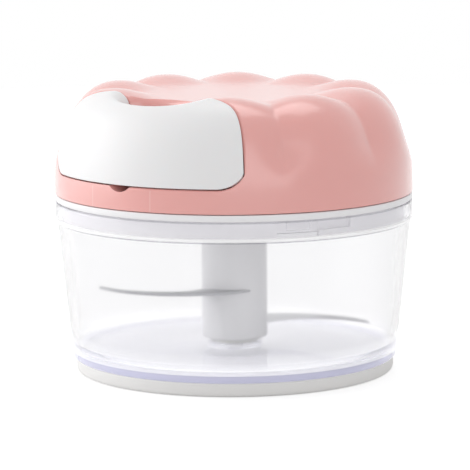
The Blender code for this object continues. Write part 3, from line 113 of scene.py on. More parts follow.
PLATE_HALF, PLATE_RISE, PLATE_IN, PLATE_PAST = 0.0293, 0.004, 0.0025, 0.01
KNOT_O, KNOT_R, KNOT_BACK, KNOT_FRONT = 0.0385, 0.0023, 0.005, 0.0041

# Blade unit; the blades' arcs are (x, y) points of the blade that lies along -X
TUBE_R, TUBE_LOW, TUBE_TOP = 0.01065, 0.0104, 0.0478
BORE_R, BORE_TOP, SOCKET_R, SOCKET_LOW = 0.0047, 0.031, 0.0084, 0.037
RIB_IN, RIB_OUT, RIB_LOW, RIB_SPAN = 0.0055, 0.0095, 0.0367, math.radians(50.0)
RIB_DROP, TUBE_RIBS = 0.0008, 3
BLADE_TIP = (-0.0447, 0.0008)
BACK_BELLY, BACK_HEEL = (-0.0192, -0.0164), (0.0062, -0.0084)
EDGE_BELLY, EDGE_HEEL = (-0.024, -0.0097), (-0.0072, 0.0015)
SHEET, SHEET_ROUND, EDGE_SHEET = 0.001, 0.0001, 0.00018
EYE_R, EYE_BORE = 0.0088, 0.0064
UPPER_BLADE, LOWER_BLADE = 0.0261, 0.0137

# Cord
CORD_R, CORD_Z, CORD_HOLE_R, CORD_BEND = 0.0009, 0.0702, 0.0026, 0.004


# Small helpers


def link(name, mesh, material, body=None, replaces=()):
    """Add a mesh to the scene as a piece that rides on a body."""
    obj = bpy.data.objects.new(name, mesh)
    bpy.context.collection.objects.link(obj)
    mesh.materials.clear()
    mesh.materials.append(material)
    if body:
        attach(obj, body)
    if replaces:
        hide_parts(*replaces)
    return obj


def to_mesh(name, shape, angle=30.0):
    """Close a bmesh into a smooth-shaded mesh."""
    bmesh.ops.recalc_face_normals(shape, faces=shape.faces)
    if shape.calc_volume(signed=True) < 0.0:
        bmesh.ops.reverse_faces(shape, faces=shape.faces)
    mesh = bpy.data.meshes.new(name)
    shape.to_mesh(mesh)
    shape.free()
    mesh.shade_smooth()
    mesh.set_sharp_from_angle(angle=math.radians(angle))
    return mesh


def round_profile(points, closed=False):
    """Round the corners of (r, z, radius) points into a list of (r, z)."""
    result = []
    count = len(points)
    for index, (r, z, radius) in enumerate(points):
        here = Vector((r, z))
        if radius <= 0.0 or (not closed and index in (0, count - 1)):
            result.append((r, z))
            continue
        before = Vector(points[index - 1][:2]) - here
        after = Vector(points[(index + 1) % count][:2]) - here
        turn = before.angle(after)
        most = min(before.length, after.length) * 0.49  # so that two corners never meet
        reach = min(radius / math.tan(turn / 2), most)
        a = here + before.normalized() * reach
        b = here + after.normalized() * reach
        steps = 5 if radius > 0.0008 else 3  # a large corner gets more points
        for step in range(steps + 1):
            t = step / steps
            p = a * (1 - t) ** 2 + here * 2 * t * (1 - t) + b * t * t
            result.append((p.x, p.y))
    return result


def disc_points(cx, cy, radius, count=32):
    """(x, y) points of a full circle."""
    turns = [2 * math.pi * k / count for k in range(count)]
    return [(cx + radius * math.cos(t), cy + radius * math.sin(t)) for t in turns]


def around(radius, degrees):
    """(x, y) place at a distance from the axis."""
    turn = math.radians(degrees)
    return radius * math.cos(turn), radius * math.sin(turn)


def arc(centre, radius, start, end, steps):
    """(x, y) points of an arc, angles in degrees."""
    points = [around(radius, start + (end - start) * k / steps) for k in range(steps + 1)]
    return [(centre[0] + x, centre[1] + y) for x, y in points]


def arc_through(first, middle, last, steps):
    """Points of the arc through three points."""
    (ax, ay), (bx, by), (cx, cy) = first, middle, last
    scale = 2 * (ax * (by - cy) + bx * (cy - ay) + cx * (ay - by))
    sa, sb, sc = ax * ax + ay * ay, bx * bx + by * by, cx * cx + cy * cy
    ox = (sa * (by - cy) + sb * (cy - ay) + sc * (ay - by)) / scale
    oy = (sa * (cx - bx) + sb * (ax - cx) + sc * (bx - ax)) / scale
    start = math.atan2(ay - oy, ax - ox)
    turn = math.atan2(cy - oy, cx - ox) - start
    turn -= 2 * math.pi * round(turn / (2 * math.pi))
    radius = math.hypot(ax - ox, ay - oy)
    return arc((ox, oy), radius, math.degrees(start), math.degrees(start + turn), steps)


def revolve(profile, segments=ROUND, closed=False):
    """Spin (r, z) points about Z; closed profiles are rings."""
    shape = bmesh.new()
    rings = []
    for r, z in profile:
        if r < 1e-7:
            rings.append([shape.verts.new((0.0, 0.0, z))])
        else:
            circle = disc_points(0.0, 0.0, r, segments)
            rings.append([shape.verts.new((x, y, z)) for x, y in circle])
    pairs = list(zip(rings, rings[1:]))
    if closed:
        pairs.append((rings[-1], rings[0]))
    for low, high in pairs:
        for k in range(segments):
            n = (k + 1) % segments
            if len(low) == 1 and len(high) > 1:
                shape.faces.new((low[0], high[n], high[k]))
            elif len(high) == 1 and len(low) > 1:
                shape.faces.new((low[k], low[n], high[0]))
            elif len(low) > 1:
                shape.faces.new((low[k], low[n], high[n], high[k]))
    return shape


def loft(sections):
    """Bridge sections with equal point counts and cap both ends."""
    shape = bmesh.new()
    rings = [[shape.verts.new(p) for p in section] for section in sections]
    for near, far in zip(rings, rings[1:]):
        for k in range(len(near)):
            n = (k + 1) % len(near)
            shape.faces.new((near[k], near[n], far[n], far[k]))
    shape.faces.new(reversed(rings[0]))
    shape.faces.new(rings[-1])
    return shape


def prism(outline, bottom, top):
    """Extrude an (x, y) outline between two heights."""
    return loft([[(x, y, bottom) for x, y in outline], [(x, y, top) for x, y in outline]])


def moved(shape, matrix):
    """Place a bmesh by a matrix."""
    bmesh.ops.transform(shape, matrix=matrix, verts=shape.verts)
    return shape


def rod(outline, behind, before, y, z):
    """Prism of an (x, z) outline that runs along Y, behind and before a place."""
    upright = prism(outline, -behind, before)
    turn = Matrix.Rotation(math.radians(90.0), 4, "X")
    return moved(upright, Matrix.Translation((0.0, y, z)) @ turn)


def sector(inner, outer, middle, width, bottom, top, steps=12):
    """Block between two radii round a direction, angles in radians."""
    a = math.degrees(middle - width / 2)
    b = math.degrees(middle + width / 2)
    return prism(arc((0, 0), outer, a, b, steps) + arc((0, 0), inner, b, a, steps), bottom, top)


def gather(shapes):
    """Join several bmeshes into one."""
    joined = bmesh.new()
    for shape in shapes:
        mesh = bpy.data.meshes.new("gathered")
        shape.to_mesh(mesh)
        shape.free()
        joined.from_mesh(mesh)
        bpy.data.meshes.remove(mesh)
    return joined


def carve(name, base, steps, angle=30.0):
    """Apply EXACT booleans to a bmesh, one after another, and return the mesh."""
    work = bpy.data.objects.new("work_" + name, to_mesh("work_" + name, base, angle))
    bpy.context.collection.objects.link(work)
    tools = []
    for operation, shape in steps:
        tool = bpy.data.objects.new("tool", to_mesh("tool", shape, angle))
        bpy.context.collection.objects.link(tool)
        tool.hide_render = True
        tools.append(tool)
        modifier = work.modifiers.new("cut", "BOOLEAN")
        modifier.operation = operation
        modifier.object = tool
        modifier.solver = "EXACT"
    bpy.context.view_layer.update()
    graph = bpy.context.evaluated_depsgraph_get()
    mesh = bpy.data.meshes.new_from_object(work.evaluated_get(graph))
    mesh.name = name
    for item in [work] + tools:
        data = item.data
        bpy.data.objects.remove(item, do_unlink=True)
        bpy.data.meshes.remove(data)
    clean = bmesh.new()
    clean.from_mesh(mesh)
    bmesh.ops.remove_doubles(clean, verts=clean.verts, dist=2e-6)
    clean.to_mesh(mesh)
    clean.free()
    mesh.shade_smooth()
    mesh.set_sharp_from_angle(angle=math.radians(angle))
    return mesh


def smooth_step(value):
    """Ease from 0 to 1."""
    value = np.clip(value, 0.0, 1.0)
    return value * value * (3.0 - 2.0 * value)


# Materials


def rgba(colour):
    """Opaque colour with its fourth channel."""
    return (*colour, 1.0)


def feed(tree, node, inputs):
    """Set a node's inputs, or link those that are given as a socket."""
    for key, value in inputs.items():
        if isinstance(value, bpy.types.NodeSocket):
            tree.links.new(value, node.inputs[key])
        else:
            node.inputs[key].default_value = value


def add(tree, kind, inputs, **settings):
    """Add a node with its settings and its inputs."""
    node = tree.nodes.new(kind)
    for key, value in settings.items():
        setattr(node, key, value)
    feed(tree, node, inputs)
    return node


def maths(tree, operation, *values):
    """Result of a Math node on sockets and numbers."""
    node = add(tree, "ShaderNodeMath", dict(enumerate(values)), operation=operation)
    return node.outputs["Value"]


def blend_colours(tree, shader, factor, first, second):
    """Feed the base colour from two colours by a factor."""
    inputs = {"Factor": factor, "A": first, "B": second}
    mix = add(tree, "ShaderNodeMix", inputs, data_type="RGBA")
    feed(tree, shader, {"Base Color": mix.outputs["Result"]})


def rays(tree, *kinds):
    """Factor that is 1 for the given kinds of ray."""
    path = add(tree, "ShaderNodeLightPath", {})
    factor = path.outputs[kinds[0]]
    for kind in kinds[1:]:
        factor = maths(tree, "MAXIMUM", factor, path.outputs[kind])
    return factor


def show(tree, output, factor, first, second):
    """Show the second shader instead of the first by a factor."""
    mix = add(tree, "ShaderNodeMixShader", {"Fac": factor, 1: first, 2: second})
    feed(tree, tree.nodes[output], {"Surface": mix.outputs["Shader"]})


def new_material(name):
    """A node material and its Principled shader."""
    material = bpy.data.materials.new(name)
    material.use_nodes = True
    tree = material.node_tree
    return material, tree, tree.nodes["Principled BSDF"]


def place_in(tree):
    """Place on the object, as a socket."""
    return add(tree, "ShaderNodeTexCoord", {}).outputs["Object"]


def coordinates(tree):
    """The place's X, Y and Z, as sockets by name."""
    return add(tree, "ShaderNodeSeparateXYZ", {"Vector": place_in(tree)}).outputs


def fine_bump(tree, shader, scale, strength, distance, detail=2.0, stretch=None):
    """Noise bump in object space, for moulded or grained surfaces."""
    place = place_in(tree)
    if stretch:
        mapping = add(tree, "ShaderNodeMapping", {"Vector": place, "Scale": stretch})
        place = mapping.outputs["Vector"]
    texture = {"Vector": place, "Scale": scale, "Detail": detail}
    noise = add(tree, "ShaderNodeTexNoise", texture).outputs["Fac"]
    relief = {"Strength": strength, "Distance": distance, "Height": noise}
    feed(tree, shader, {"Normal": add(tree, "ShaderNodeBump", relief).outputs["Normal"]})
    return noise


def vary_roughness(tree, shader, noise, roughness, spread):
    """Let a noise move the roughness up and down by a share of itself."""
    limits = {"To Min": roughness * (1 - spread), "To Max": roughness * (1 + spread)}
    ramp = add(tree, "ShaderNodeMapRange", {"Value": noise, **limits})
    feed(tree, shader, {"Roughness": ramp.outputs["Result"]})


def drift(tree, shader, colour, share, scale):
    """Slow, slight variation of a colour down to a share of it."""
    texture = {"Vector": place_in(tree), "Scale": scale}
    noise = add(tree, "ShaderNodeTexNoise", texture).outputs["Fac"]
    blend_colours(tree, shader, noise, rgba(c * share for c in colour), rgba(colour))


def moulded(name, colour, roughness, grain=900.0, strength=0.04, coat=0.0, soft=0.0):
    """Moulded plastic with slight colour drift and fine surface grain."""
    material, tree, shader = new_material(name)
    drift(tree, shader, colour, 0.985, 25.0)
    noise = fine_bump(tree, shader, grain, strength, 0.00005)
    vary_roughness(tree, shader, noise, roughness, 0.1)
    feed(tree, shader, {"IOR": 1.47, "Coat Weight": coat, "Coat Roughness": 0.2})
    if soft:
        depth = {"Subsurface Radius": (1.0, 0.6, 0.5), "Subsurface Scale": 0.0015}
        feed(tree, shader, {"Subsurface Weight": soft, **depth})
    return material


def brushed(name, colour, roughness, stretch):
    """Steel with fine lines along one direction."""
    material, tree, shader = new_material(name)
    feed(tree, shader, {"Metallic": 1.0})
    drift(tree, shader, colour, 0.93, 60.0)
    noise = fine_bump(tree, shader, 400.0, 0.1, 0.00002, 3.0, stretch)
    vary_roughness(tree, shader, noise, roughness, 0.2)
    return material


def height(tree, low, high):
    """Factor that rises from 0 to 1 between two heights of the object."""
    limits = {"From Min": low, "From Max": high}
    ramp = add(tree, "ShaderNodeMapRange", {"Value": coordinates(tree)["Z"], **limits})
    return ramp.outputs["Result"]


def base_source(shader):
    """Socket that feeds the base colour."""
    return shader.inputs["Base Color"].links[0].from_socket


def by_height(material, low, high, colour):
    """Blend a material's colour into another one between two heights."""
    tree = material.node_tree
    shader = tree.nodes["Principled BSDF"]
    blend_colours(tree, shader, height(tree, low, high), base_source(shader), rgba(colour))
    return material


def stepped(tree, stops, top=0.06):
    """Value or colour that follows the height in (height, value) steps."""
    ramp = add(tree, "ShaderNodeValToRGB", {"Fac": height(tree, 0.0, top)})
    elements = ramp.color_ramp.elements
    while len(elements) < len(stops):
        elements.new(0.5)
    for element, (z, value) in zip(elements, stops):
        element.position = z / top
        element.color = rgba(value if isinstance(value, tuple) else (value, value, value))
    return ramp.outputs["Color"]


def witness_lines(material):
    """Two faint parting lines of the mould below the handle, and no others."""
    offset, half_width, front, top, strength = 0.0116, 0.00018, -0.055, 0.0652, 0.45
    tree = material.node_tree
    shader = tree.nodes["Principled BSDF"]
    place = coordinates(tree)
    side = maths(tree, "ABSOLUTE", place["X"])
    away = maths(tree, "ABSOLUTE", maths(tree, "SUBTRACT", side, offset))
    mask = maths(tree, "LESS_THAN", away, half_width)
    for axis, limit in (("Y", front), ("Z", top)):
        mask = maths(tree, "MULTIPLY", mask, maths(tree, "LESS_THAN", place[axis], limit))
    factor = maths(tree, "MULTIPLY", mask, strength)
    blend_colours(tree, shader, factor, base_source(shader), rgba((0.93, 0.62, 0.58)))
    return material


def clear(name, looks, shadow):
    """Clear plastic, slightly milky, whose inputs follow the height in steps."""
    material, tree, shader = new_material(name)
    feed(tree, shader, {socket: stepped(tree, stops) for socket, stops in looks.items()})
    # The emission, in the base colour, is painted light: a glow by height that stands in for light
    # caught in the glass.
    feed(tree, shader, {"Emission Color": base_source(shader), "IOR": 1.08})
    fine_bump(tree, shader, 90.0, 0.015, 0.0001)
    through = add(tree, "ShaderNodeBsdfTransparent", {"Color": rgba(shadow)})
    soft_rays = rays(tree, "Is Shadow Ray", "Is Diffuse Ray")
    show(tree, "Material Output", soft_rays, shader.outputs["BSDF"], through.outputs["BSDF"])
    return material


def braided(name, colour):
    """White braided cord: two crossed wave bands."""
    material, tree, shader = new_material(name)
    place = place_in(tree)
    bands = []
    for direction in ((1.0, 1.0, 1.0), (-1.0, 1.0, -1.0)):
        mapping = add(tree, "ShaderNodeMapping", {"Vector": place, "Scale": direction})
        texture = {"Vector": mapping.outputs["Vector"], "Scale": 420.0}
        wave = add(tree, "ShaderNodeTexWave", texture, bands_direction="DIAGONAL")
        bands.append(wave.outputs["Fac"])
    weave = maths(tree, "MAXIMUM", *bands)
    blend_colours(tree, shader, weave, rgba(c * 0.7 for c in colour), rgba(colour))
    relief = {"Strength": 0.6, "Distance": 0.0002, "Height": weave}
    bump = add(tree, "ShaderNodeBump", relief)
    feed(tree, shader, {"Normal": bump.outputs["Normal"], "Roughness": 0.85, "Sheen Weight": 0.3})
    return material


CLEAR, PAINTED_EDGE_SHADE, PALE = (0.95, 0.95, 0.955), (0.5, 0.49, 0.54), (1.0, 1.0, 1.0)

# Lavender foot topped by a painted dark line, a painted bright floor line, clear wall, a painted
# dark line below the collar, a painted bright ledge line, clear collar and its painted dark top
# edge, as (height in metres, value). The dark lines are painted shade for the glass's edges, the
# bright lines painted highlights.
BOWL_LOOKS_WITH_PAINTED_LIGHT = {
    "Base Color": [
        (0.0, (0.64, 0.64, 0.82)),
        (0.0064, (0.7, 0.7, 0.88)),
        (0.0068, (0.6, 0.6, 0.74)),
        (0.007, PALE),
        (0.0095, CLEAR),
        (0.0491, CLEAR),
        (0.04925, PAINTED_EDGE_SHADE),
        (0.04945, PAINTED_EDGE_SHADE),
        (0.0496, PALE),
        (0.0505, PALE),
        (0.0507, (0.965, 0.96, 0.98)),
        (0.0553, (0.96, 0.955, 0.98)),
        (0.0556, PAINTED_EDGE_SHADE),
    ],
    # Painted light: a glow that makes the floor line and the ledge line shine as painted
    # highlights, and lifts the foot a little.
    "Emission Strength": [
        (0.0, 0.04),
        (0.0066, 0.05),
        (0.007, 0.17),
        (0.0085, 0.16),
        (0.0108, 0.03),
        (0.0135, 0.0),
        (0.0494, 0.0),
        (0.0496, 0.1),
        (0.0504, 0.1),
        (0.0506, 0.0),
    ],
    # Less clear, milky bands at the foot and at the ledge line, so that the ledge line shows as a
    # painted highlight.
    "Transmission Weight": [
        (0.0, 0.45),
        (0.0068, 0.45),
        (0.007, 0.6),
        (0.01, 0.92),
        (0.0494, 0.92),
        (0.0496, 0.35),
        (0.0505, 0.35),
        (0.0507, 0.92),
    ],
    "Roughness": [(0.0, 0.2), (0.0485, 0.2), (0.0492, 0.1)],
    "Coat Weight": [(0.0, 1.0), (0.012, 1.0), (0.014, 0.45)],
    "Coat Roughness": [(0.0, 0.03), (0.012, 0.03), (0.014, 0.14)],
}

pink = witness_lines(moulded("coral_plastic", (0.86, 0.405, 0.375), 0.34, coat=1.0, soft=0.15))
white = moulded("white_plastic", (0.88, 0.875, 0.88), 0.42, soft=0.1)
band_white = moulded("lid_white_plastic", (0.92, 0.91, 0.925), 0.35)
tube_white = moulded("tube_plastic", (0.86, 0.855, 0.87), 0.4)
acetal_look = moulded("slippery_plastic", (0.85, 0.85, 0.82), 0.42)
plain_rubber = moulded("base_rubber", (0.86, 0.85, 0.84), 0.6, grain=1400.0, strength=0.15)
# Painted light: the pad's top, above about 5 mm, is painted lighter than its sides, standing in for
# light that the lid keeps from it.
rubber_with_painted_top_light = by_height(plain_rubber, 0.0048, 0.0052, (0.93, 0.93, 0.94))
silicone = moulded("seal_silicone", (0.98, 0.98, 0.985), 0.45)
light_steel = brushed("blade_steel", (0.7, 0.7, 0.72), 0.3, (1.0, 14.0, 1.0))
# Painted shade: the same steel is painted much darker below 20 mm, so the lower blade is a shaded
# copy of the upper one.
steel_with_painted_shade_below = by_height(light_steel, 0.02, 0.022, (0.34, 0.34, 0.36))
pin_steel = brushed("pin_steel", (0.62, 0.62, 0.64), 0.2, (1.0, 1.0, 12.0))
glass = clear("clear_bowl_plastic", BOWL_LOOKS_WITH_PAINTED_LIGHT, (0.985, 0.985, 0.99))
cord_white = braided("cord_braid", (0.86, 0.86, 0.84))


# Dome of the cover and the handle


def section(count=48):
    """Crest section of the dome: (r, z) from the bottom edge to the disc."""
    angle = np.linspace(0.0, math.pi / 2, count)
    across = np.cos(angle) ** POWER
    across[-1] = 0.0
    r = CREST_R + (COVER_R - CREST_R) * across
    z = COVER_LOW + (COVER_TOP - COVER_LOW) * np.sin(angle) ** POWER
    share = np.linspace(0.0, 1.0, 14)[1:]
    r = np.concatenate([r, CREST_R + (DISC_R - CREST_R) * share])
    z = np.concatenate([z, COVER_TOP - (COVER_TOP - DISC_TOP) * smooth_step(share)])
    return r, z


SECTION_R, SECTION_Z = section()
STEP_R = np.gradient(SECTION_R)
STEP_Z = np.gradient(SECTION_Z)
LENGTHS = np.hypot(STEP_R, STEP_Z)
NORMAL_R = STEP_Z / LENGTHS
NORMAL_Z = -STEP_R / LENGTHS
SHARE = smooth_step((SECTION_Z - PETAL_START) / (PETAL_FULL - PETAL_START)) * smooth_step(
    (SECTION_R - DISC_R) / (CREST_R - DISC_R)
)


def petal_sink(angle):
    """How far a direction lies below the crests, from 0 to 1."""
    wave = np.cos(PETALS * (angle - math.pi / 2) / 2)
    flat = math.sqrt(1 + PETAL_SOFT * PETAL_SOFT) - PETAL_SOFT
    lobe = (np.sqrt(wave * wave + PETAL_SOFT * PETAL_SOFT) - PETAL_SOFT) / flat
    away = np.abs(np.remainder(angle + math.pi / 2 + math.pi, 2 * math.pi) - math.pi)
    inside = away < math.pi / PETALS
    return np.where(inside, 1.0, 1.0 - lobe)


def dome_section(angle, petals=True):
    """(r, z) arrays of the dome's outside at one direction."""
    sink = PETAL_DEPTH * SHARE * float(petal_sink(np.array(angle))) if petals else 0.0
    return SECTION_R - sink * NORMAL_R, SECTION_Z - sink * NORMAL_Z


def dome_at(angle, position, petals=True):
    """Point of the dome at a direction and a fractional row of the section."""
    r, z = dome_section(angle, petals)
    rows = np.arange(len(r))
    rr = float(np.interp(position, rows, r))
    zz = float(np.interp(position, rows, z))
    return Vector((rr * math.cos(angle), rr * math.sin(angle), zz))


def dome_row(angle, petals, r=None, z=None):
    """Fractional row where the dome has a radius or a height."""
    rows = np.arange(len(SECTION_R))
    sr, sz = dome_section(angle, petals)
    if r is not None:
        return float(np.interp(-r, -sr, rows))
    upper = int(np.argmax(sz))
    return float(np.interp(z, sz[: upper + 1], rows[: upper + 1]))


def dome_normal(angle, row, petals):
    """Outward normal of the dome."""
    da, dr = 0.004, 0.25
    across = dome_at(angle + da, row, petals) - dome_at(angle - da, row, petals)
    upper = dome_at(angle, min(row + dr, len(SECTION_R) - 1), petals)
    along = upper - dome_at(angle, max(row - dr, 0), petals)
    normal = across.cross(along).normalized()
    outward = Vector((math.cos(angle), math.sin(angle), 0.6))
    return normal if normal.dot(outward) > 0 else -normal


def dome_height(x, y):
    """Height of the dome, without its petals, over a point."""
    return float(np.interp(-math.hypot(x, y), -SECTION_R, SECTION_Z))


def dome_shape(segments, petals=True):
    """Closed body of the dome's outside."""
    shape = bmesh.new()
    columns = []
    for k in range(segments):
        angle = 2 * math.pi * k / segments + math.pi / 2
        pairs = zip(*dome_section(angle, petals))
        points = [(a * math.cos(angle), a * math.sin(angle), b) for a, b in pairs]
        columns.append([shape.verts.new(p) for p in points])
    neighbours = list(zip(columns, columns[1:] + columns[:1]))
    for near, far in neighbours:
        for row in range(len(near) - 1):
            shape.faces.new((near[row], far[row], far[row + 1], near[row + 1]))
    middle = shape.verts.new((0.0, 0.0, float(SECTION_Z[-1])))
    for near, far in neighbours:
        shape.faces.new((near[-1], far[-1], middle))
    shape.faces.new([column[0] for column in columns])
    return shape


def back_distance(inset, x):
    """Distance of the recess's back, curved and rounded at its sides, from the axis."""
    back = RECESS_APEX + inset + BACK_R - math.sqrt(BACK_R**2 - x * x)
    radius = SIDE_ROUND - inset
    past = min(max(abs(x) - SIDE_HALF + SIDE_ROUND, 0.0), radius)
    return back + radius - math.sqrt(radius**2 - past * past)


def recess_size(inset):
    """Half width, corner radius and floor height of the recess, drawn in by an inset."""
    return RECESS_HALF - inset, RECESS_CORNER - inset, RECESS_FLOOR + inset


def recess(inset, across=60):
    """Room of the handle in the cover, drawn in by an inset."""
    half, corner, floor = recess_size(inset)
    straight = half - corner
    turns = [math.radians(90.0 * k / 12) for k in range(13)]
    left = [(-half + corner * (1 - math.cos(t)), floor + corner * (1 - math.sin(t))) for t in turns]
    edge = left + [(-straight + 2 * straight * k / across, floor) for k in range(1, across)]
    edge += [(-x, z) for x, z in reversed(left)]
    sections = []
    for x, z in edge:
        back = back_distance(inset, x)
        top, front = COVER_TOP + FAR, COVER_R + FAR
        sections.append([(x, -back, z), (x, -front, z), (x, -front, top), (x, -back, top)])
    return loft(sections)


def pocket_ring(grow, flare, count):
    """(x, y) points round the finger pocket, at a share of its flare."""
    side = POCKET_HALF + grow + POCKET_END * flare
    ring = []
    for k in range(count):
        a = 2 * math.pi * k / count
        reach = POCKET_FRONT if math.sin(a) < 0 else POCKET_REAR
        x = math.cos(a) * side + POCKET_SHIFT * flare
        ring.append((x, -POCKET_O + math.sin(a) * (reach + grow + POCKET_LIP * flare)))
    return ring


def pocket(grow, floor, count=96):
    """Finger pocket: an oval well whose sides roll out to the dome's surface."""
    lip = DISC_TOP - POCKET_LIP_DROP
    sections = []
    for k in range(5):
        t = math.radians(90.0 * k / 4)
        spread = grow - POCKET_ROUND * (1 - math.sin(t))
        z = floor + POCKET_ROUND * (1 - math.cos(t))
        sections.append([(x, y, z) for x, y in pocket_ring(spread, 0.0, count)])
    drop = [dome_height(x, y) - lip for x, y in pocket_ring(grow, 0.0, count)]
    for k in range(17):
        turn = math.radians(90.0 * k / 16)
        ring = pocket_ring(grow, 1 - math.cos(turn), count)
        rise = 1 - math.sin(turn) * POCKET_FLARED
        places = zip(ring, drop)
        sections.append([(x, y, dome_height(x, y) - fall * rise) for (x, y), fall in places])
    throat = pocket_ring(grow, POCKET_THROAT, count)
    sections.append([(x, y, COVER_TOP + FAR) for x, y in throat])
    return loft(sections)


# Edges where the recess meets the dome. Each point has its place, the dome's normal and the
# wall's, which points from the cover into the recess.


def rim_behind(inset, petals):
    """Edge along the back of the recess."""
    half, corner, floor = recess_size(inset)
    reach, outer = half - 0.00002, COVER_R - 0.0002  # just inside the side walls and the dome
    nudge = 1e-6
    edge = []
    for k in range(181):
        x = reach * math.sin(math.radians(90.0 * (k / 90 - 1)))
        y = -back_distance(inset, x)
        if math.hypot(x, y) > outer:
            continue
        angle = math.atan2(y, x)
        row = dome_row(angle, petals, r=math.hypot(x, y))
        past = max(abs(x) - half + corner, 0.0)
        place = dome_at(angle, row, petals)
        if place.z < floor + corner - math.sqrt(corner**2 - past**2):
            continue
        slope = (back_distance(inset, x + nudge) - back_distance(inset, x - nudge)) / (2 * nudge)
        wall = Vector((-slope, -1.0, 0.0)).normalized()
        edge.append((place, dome_normal(angle, row, petals), wall))
    return edge


def rim_below(inset, petals):
    """Edge along the bottom of the recess and up its corners."""
    half, corner, floor = recess_size(inset)
    straight = half - corner
    turns = [math.radians(t) for t in range(6, 91, 4)]
    bend = [(straight + corner * math.cos(t), floor + corner * (1 - math.sin(t)), t) for t in turns]
    up = Vector((0.0, 0.0, 1.0))
    track = [(x, z, Vector((-math.cos(t), 0.0, math.sin(t)))) for x, z, t in bend]
    track += [(straight - 2 * straight * k / 40, floor, up) for k in range(1, 40)]
    track += [(-x, z, Vector((math.cos(t), 0.0, math.sin(t)))) for x, z, t in reversed(bend)]
    edge = []
    for x, z, wall in track:
        y = -math.sqrt(COVER_R**2 - x * x)
        for _ in range(6):
            angle = math.atan2(y, x)
            here = dome_at(angle, dome_row(angle, petals, z=z), petals)
            r = math.hypot(here.x, here.y)
            y = -math.sqrt(max(r * r - x * x, 0.0))
        angle = math.atan2(y, x)
        row = dome_row(angle, petals, z=z)
        if -y > back_distance(inset, x):
            edge.append((Vector((x, y, z)), dome_normal(angle, row, petals), wall))
    return edge


def fillet(points, radius, solid):
    """Cutter that rounds an edge; solid is 1 for the cover, -1 for the handle."""
    poke = 0.000012  # how far the round stands out of both surfaces, so that the cut is clean
    out = max(0.0009, radius * 1.1)
    steps = 5
    sections = []
    for index, (place, normal, _) in enumerate(points):
        near = Vector((0.0, 0.0, 0.0))
        for other in range(max(index - 1, 0), min(index + 2, len(points))):
            near += points[other][2]
        wall = near.normalized() * solid
        mix = max(min(normal.dot(wall), 0.98), -0.85)
        taper = min(1.0, 0.3 + min(index, len(points) - 1 - index) / 12)
        size = radius * taper * max(min(1.0 + mix, 1.0), 0.3)
        centre = place - (normal + wall) * (size / (1.0 + mix)) + (normal + wall) * poke
        angle = math.acos(mix)
        ring = []
        for step in range(steps + 1):
            t = step / steps
            way = normal * (math.sin((1 - t) * angle) / math.sin(angle)) + wall * (
                math.sin(t * angle) / math.sin(angle)
            )
            ring.append(centre + way * size)
        ring.append(ring[-1] + wall * out)
        ring.append(place + (normal + wall) * out)
        ring.append(ring[0] + normal * out)
        sections.append([tuple(p) for p in ring])
    return loft(sections)


def cover_hollow():
    """Inside of the cover, with walls left round the recess and the pocket."""
    inner = []
    for k in range(25):
        a = math.radians(90.0 * k / 24)
        across = math.cos(a) ** POWER if k < 24 else 0.0
        r = CREST_R - WALL + (COVER_R - WALL - (CREST_R - WALL)) * across
        inner.append((r, COVER_LOW + (DISC_TOP - WALL - COVER_LOW) * math.sin(a) ** POWER))
    cavity = [(0.0, COVER_LOW - FAR), (COVER_R - WALL, COVER_LOW - FAR)] + inner
    cavity.append((0.0, DISC_TOP - WALL))
    walls = [
        ("DIFFERENCE", recess(-RECESS_WALL, 30)),
        ("DIFFERENCE", pocket(RECESS_WALL, POCKET_FLOOR - RECESS_WALL, 48)),
    ]
    shape = bmesh.new()
    shape.from_mesh(carve("cover_hollow", revolve(cavity, 96), walls))
    return shape


def thumb_notch():
    """Cutter of the shallow arc below the recess's floor, open at the cover's front."""
    radius = (NOTCH_HALF**2 + NOTCH_DEPTH**2) / (2 * NOTCH_DEPTH)
    sweep = math.degrees(math.asin(NOTCH_MOUTH / radius))
    centre = (0.0, RECESS_FLOOR - NOTCH_DEPTH + radius)
    outline = arc(centre, radius, -90.0 - sweep, -90.0 + sweep, 19)
    outline += [(NOTCH_MOUTH, RECESS_FLOOR + NOTCH_RISE), (-NOTCH_MOUTH, RECESS_FLOOR + NOTCH_RISE)]
    return rod(outline, NOTCH_BACK, FAR, -COVER_R, 0.0)


def make_cover():
    """Petal cover with rounded edges round the handle and the pocket."""
    notch = thumb_notch()
    hollow = cover_hollow()
    bosses = []
    for angle in COVER_SCREWS:
        x, y = around(COVER_SCREW_R, angle)
        bosses.append(prism(disc_points(x, y, COVER_BOSS_R, 24), COVER_BOSS_LOW, COVER_BOSS_TOP))
    hole = disc_points(0.0, 0.0, CORD_HOLE_R, 32)
    cord_hole = rod(hole, RECESS_WALL, RECESS_WALL, -(RECESS_APEX - RECESS_WALL / 2), CORD_Z)
    cuts = [
        ("DIFFERENCE", notch),
        ("DIFFERENCE", hollow),
        ("UNION", gather(bosses)),
        ("DIFFERENCE", recess(0.0)),
        ("DIFFERENCE", pocket(0.0, POCKET_FLOOR)),
        ("DIFFERENCE", cord_hole),
        ("DIFFERENCE", fillet(rim_behind(0.0, True), COVER_EDGE_BEHIND, 1)),
        ("DIFFERENCE", fillet(rim_below(0.0, True), COVER_EDGE_BELOW, 1)),
    ]
    mesh = carve("petal_cover_skin", dome_shape(COVER_SEGMENTS), cuts, 32.0)
    link("petal_cover_skin", mesh, pink, "lid", ["petal_cover"])


def back_plate_room():
    """Room of the back plate in the handle, along its curved back."""
    middle = (RECESS_FLOOR + HANDLE_GAP + POCKET_FLOOR) / 2
    low, top = middle - PLATE_RISE, middle + PLATE_RISE
    sections = []
    for k in range(25):
        x = -PLATE_HALF + 2 * PLATE_HALF * k / 24
        back = back_distance(HANDLE_GAP, x)
        behind, front = -back + PLATE_PAST, -back - PLATE_IN
        sections.append([(x, behind, low), (x, front, low), (x, front, top), (x, behind, top)])
    return loft(sections)


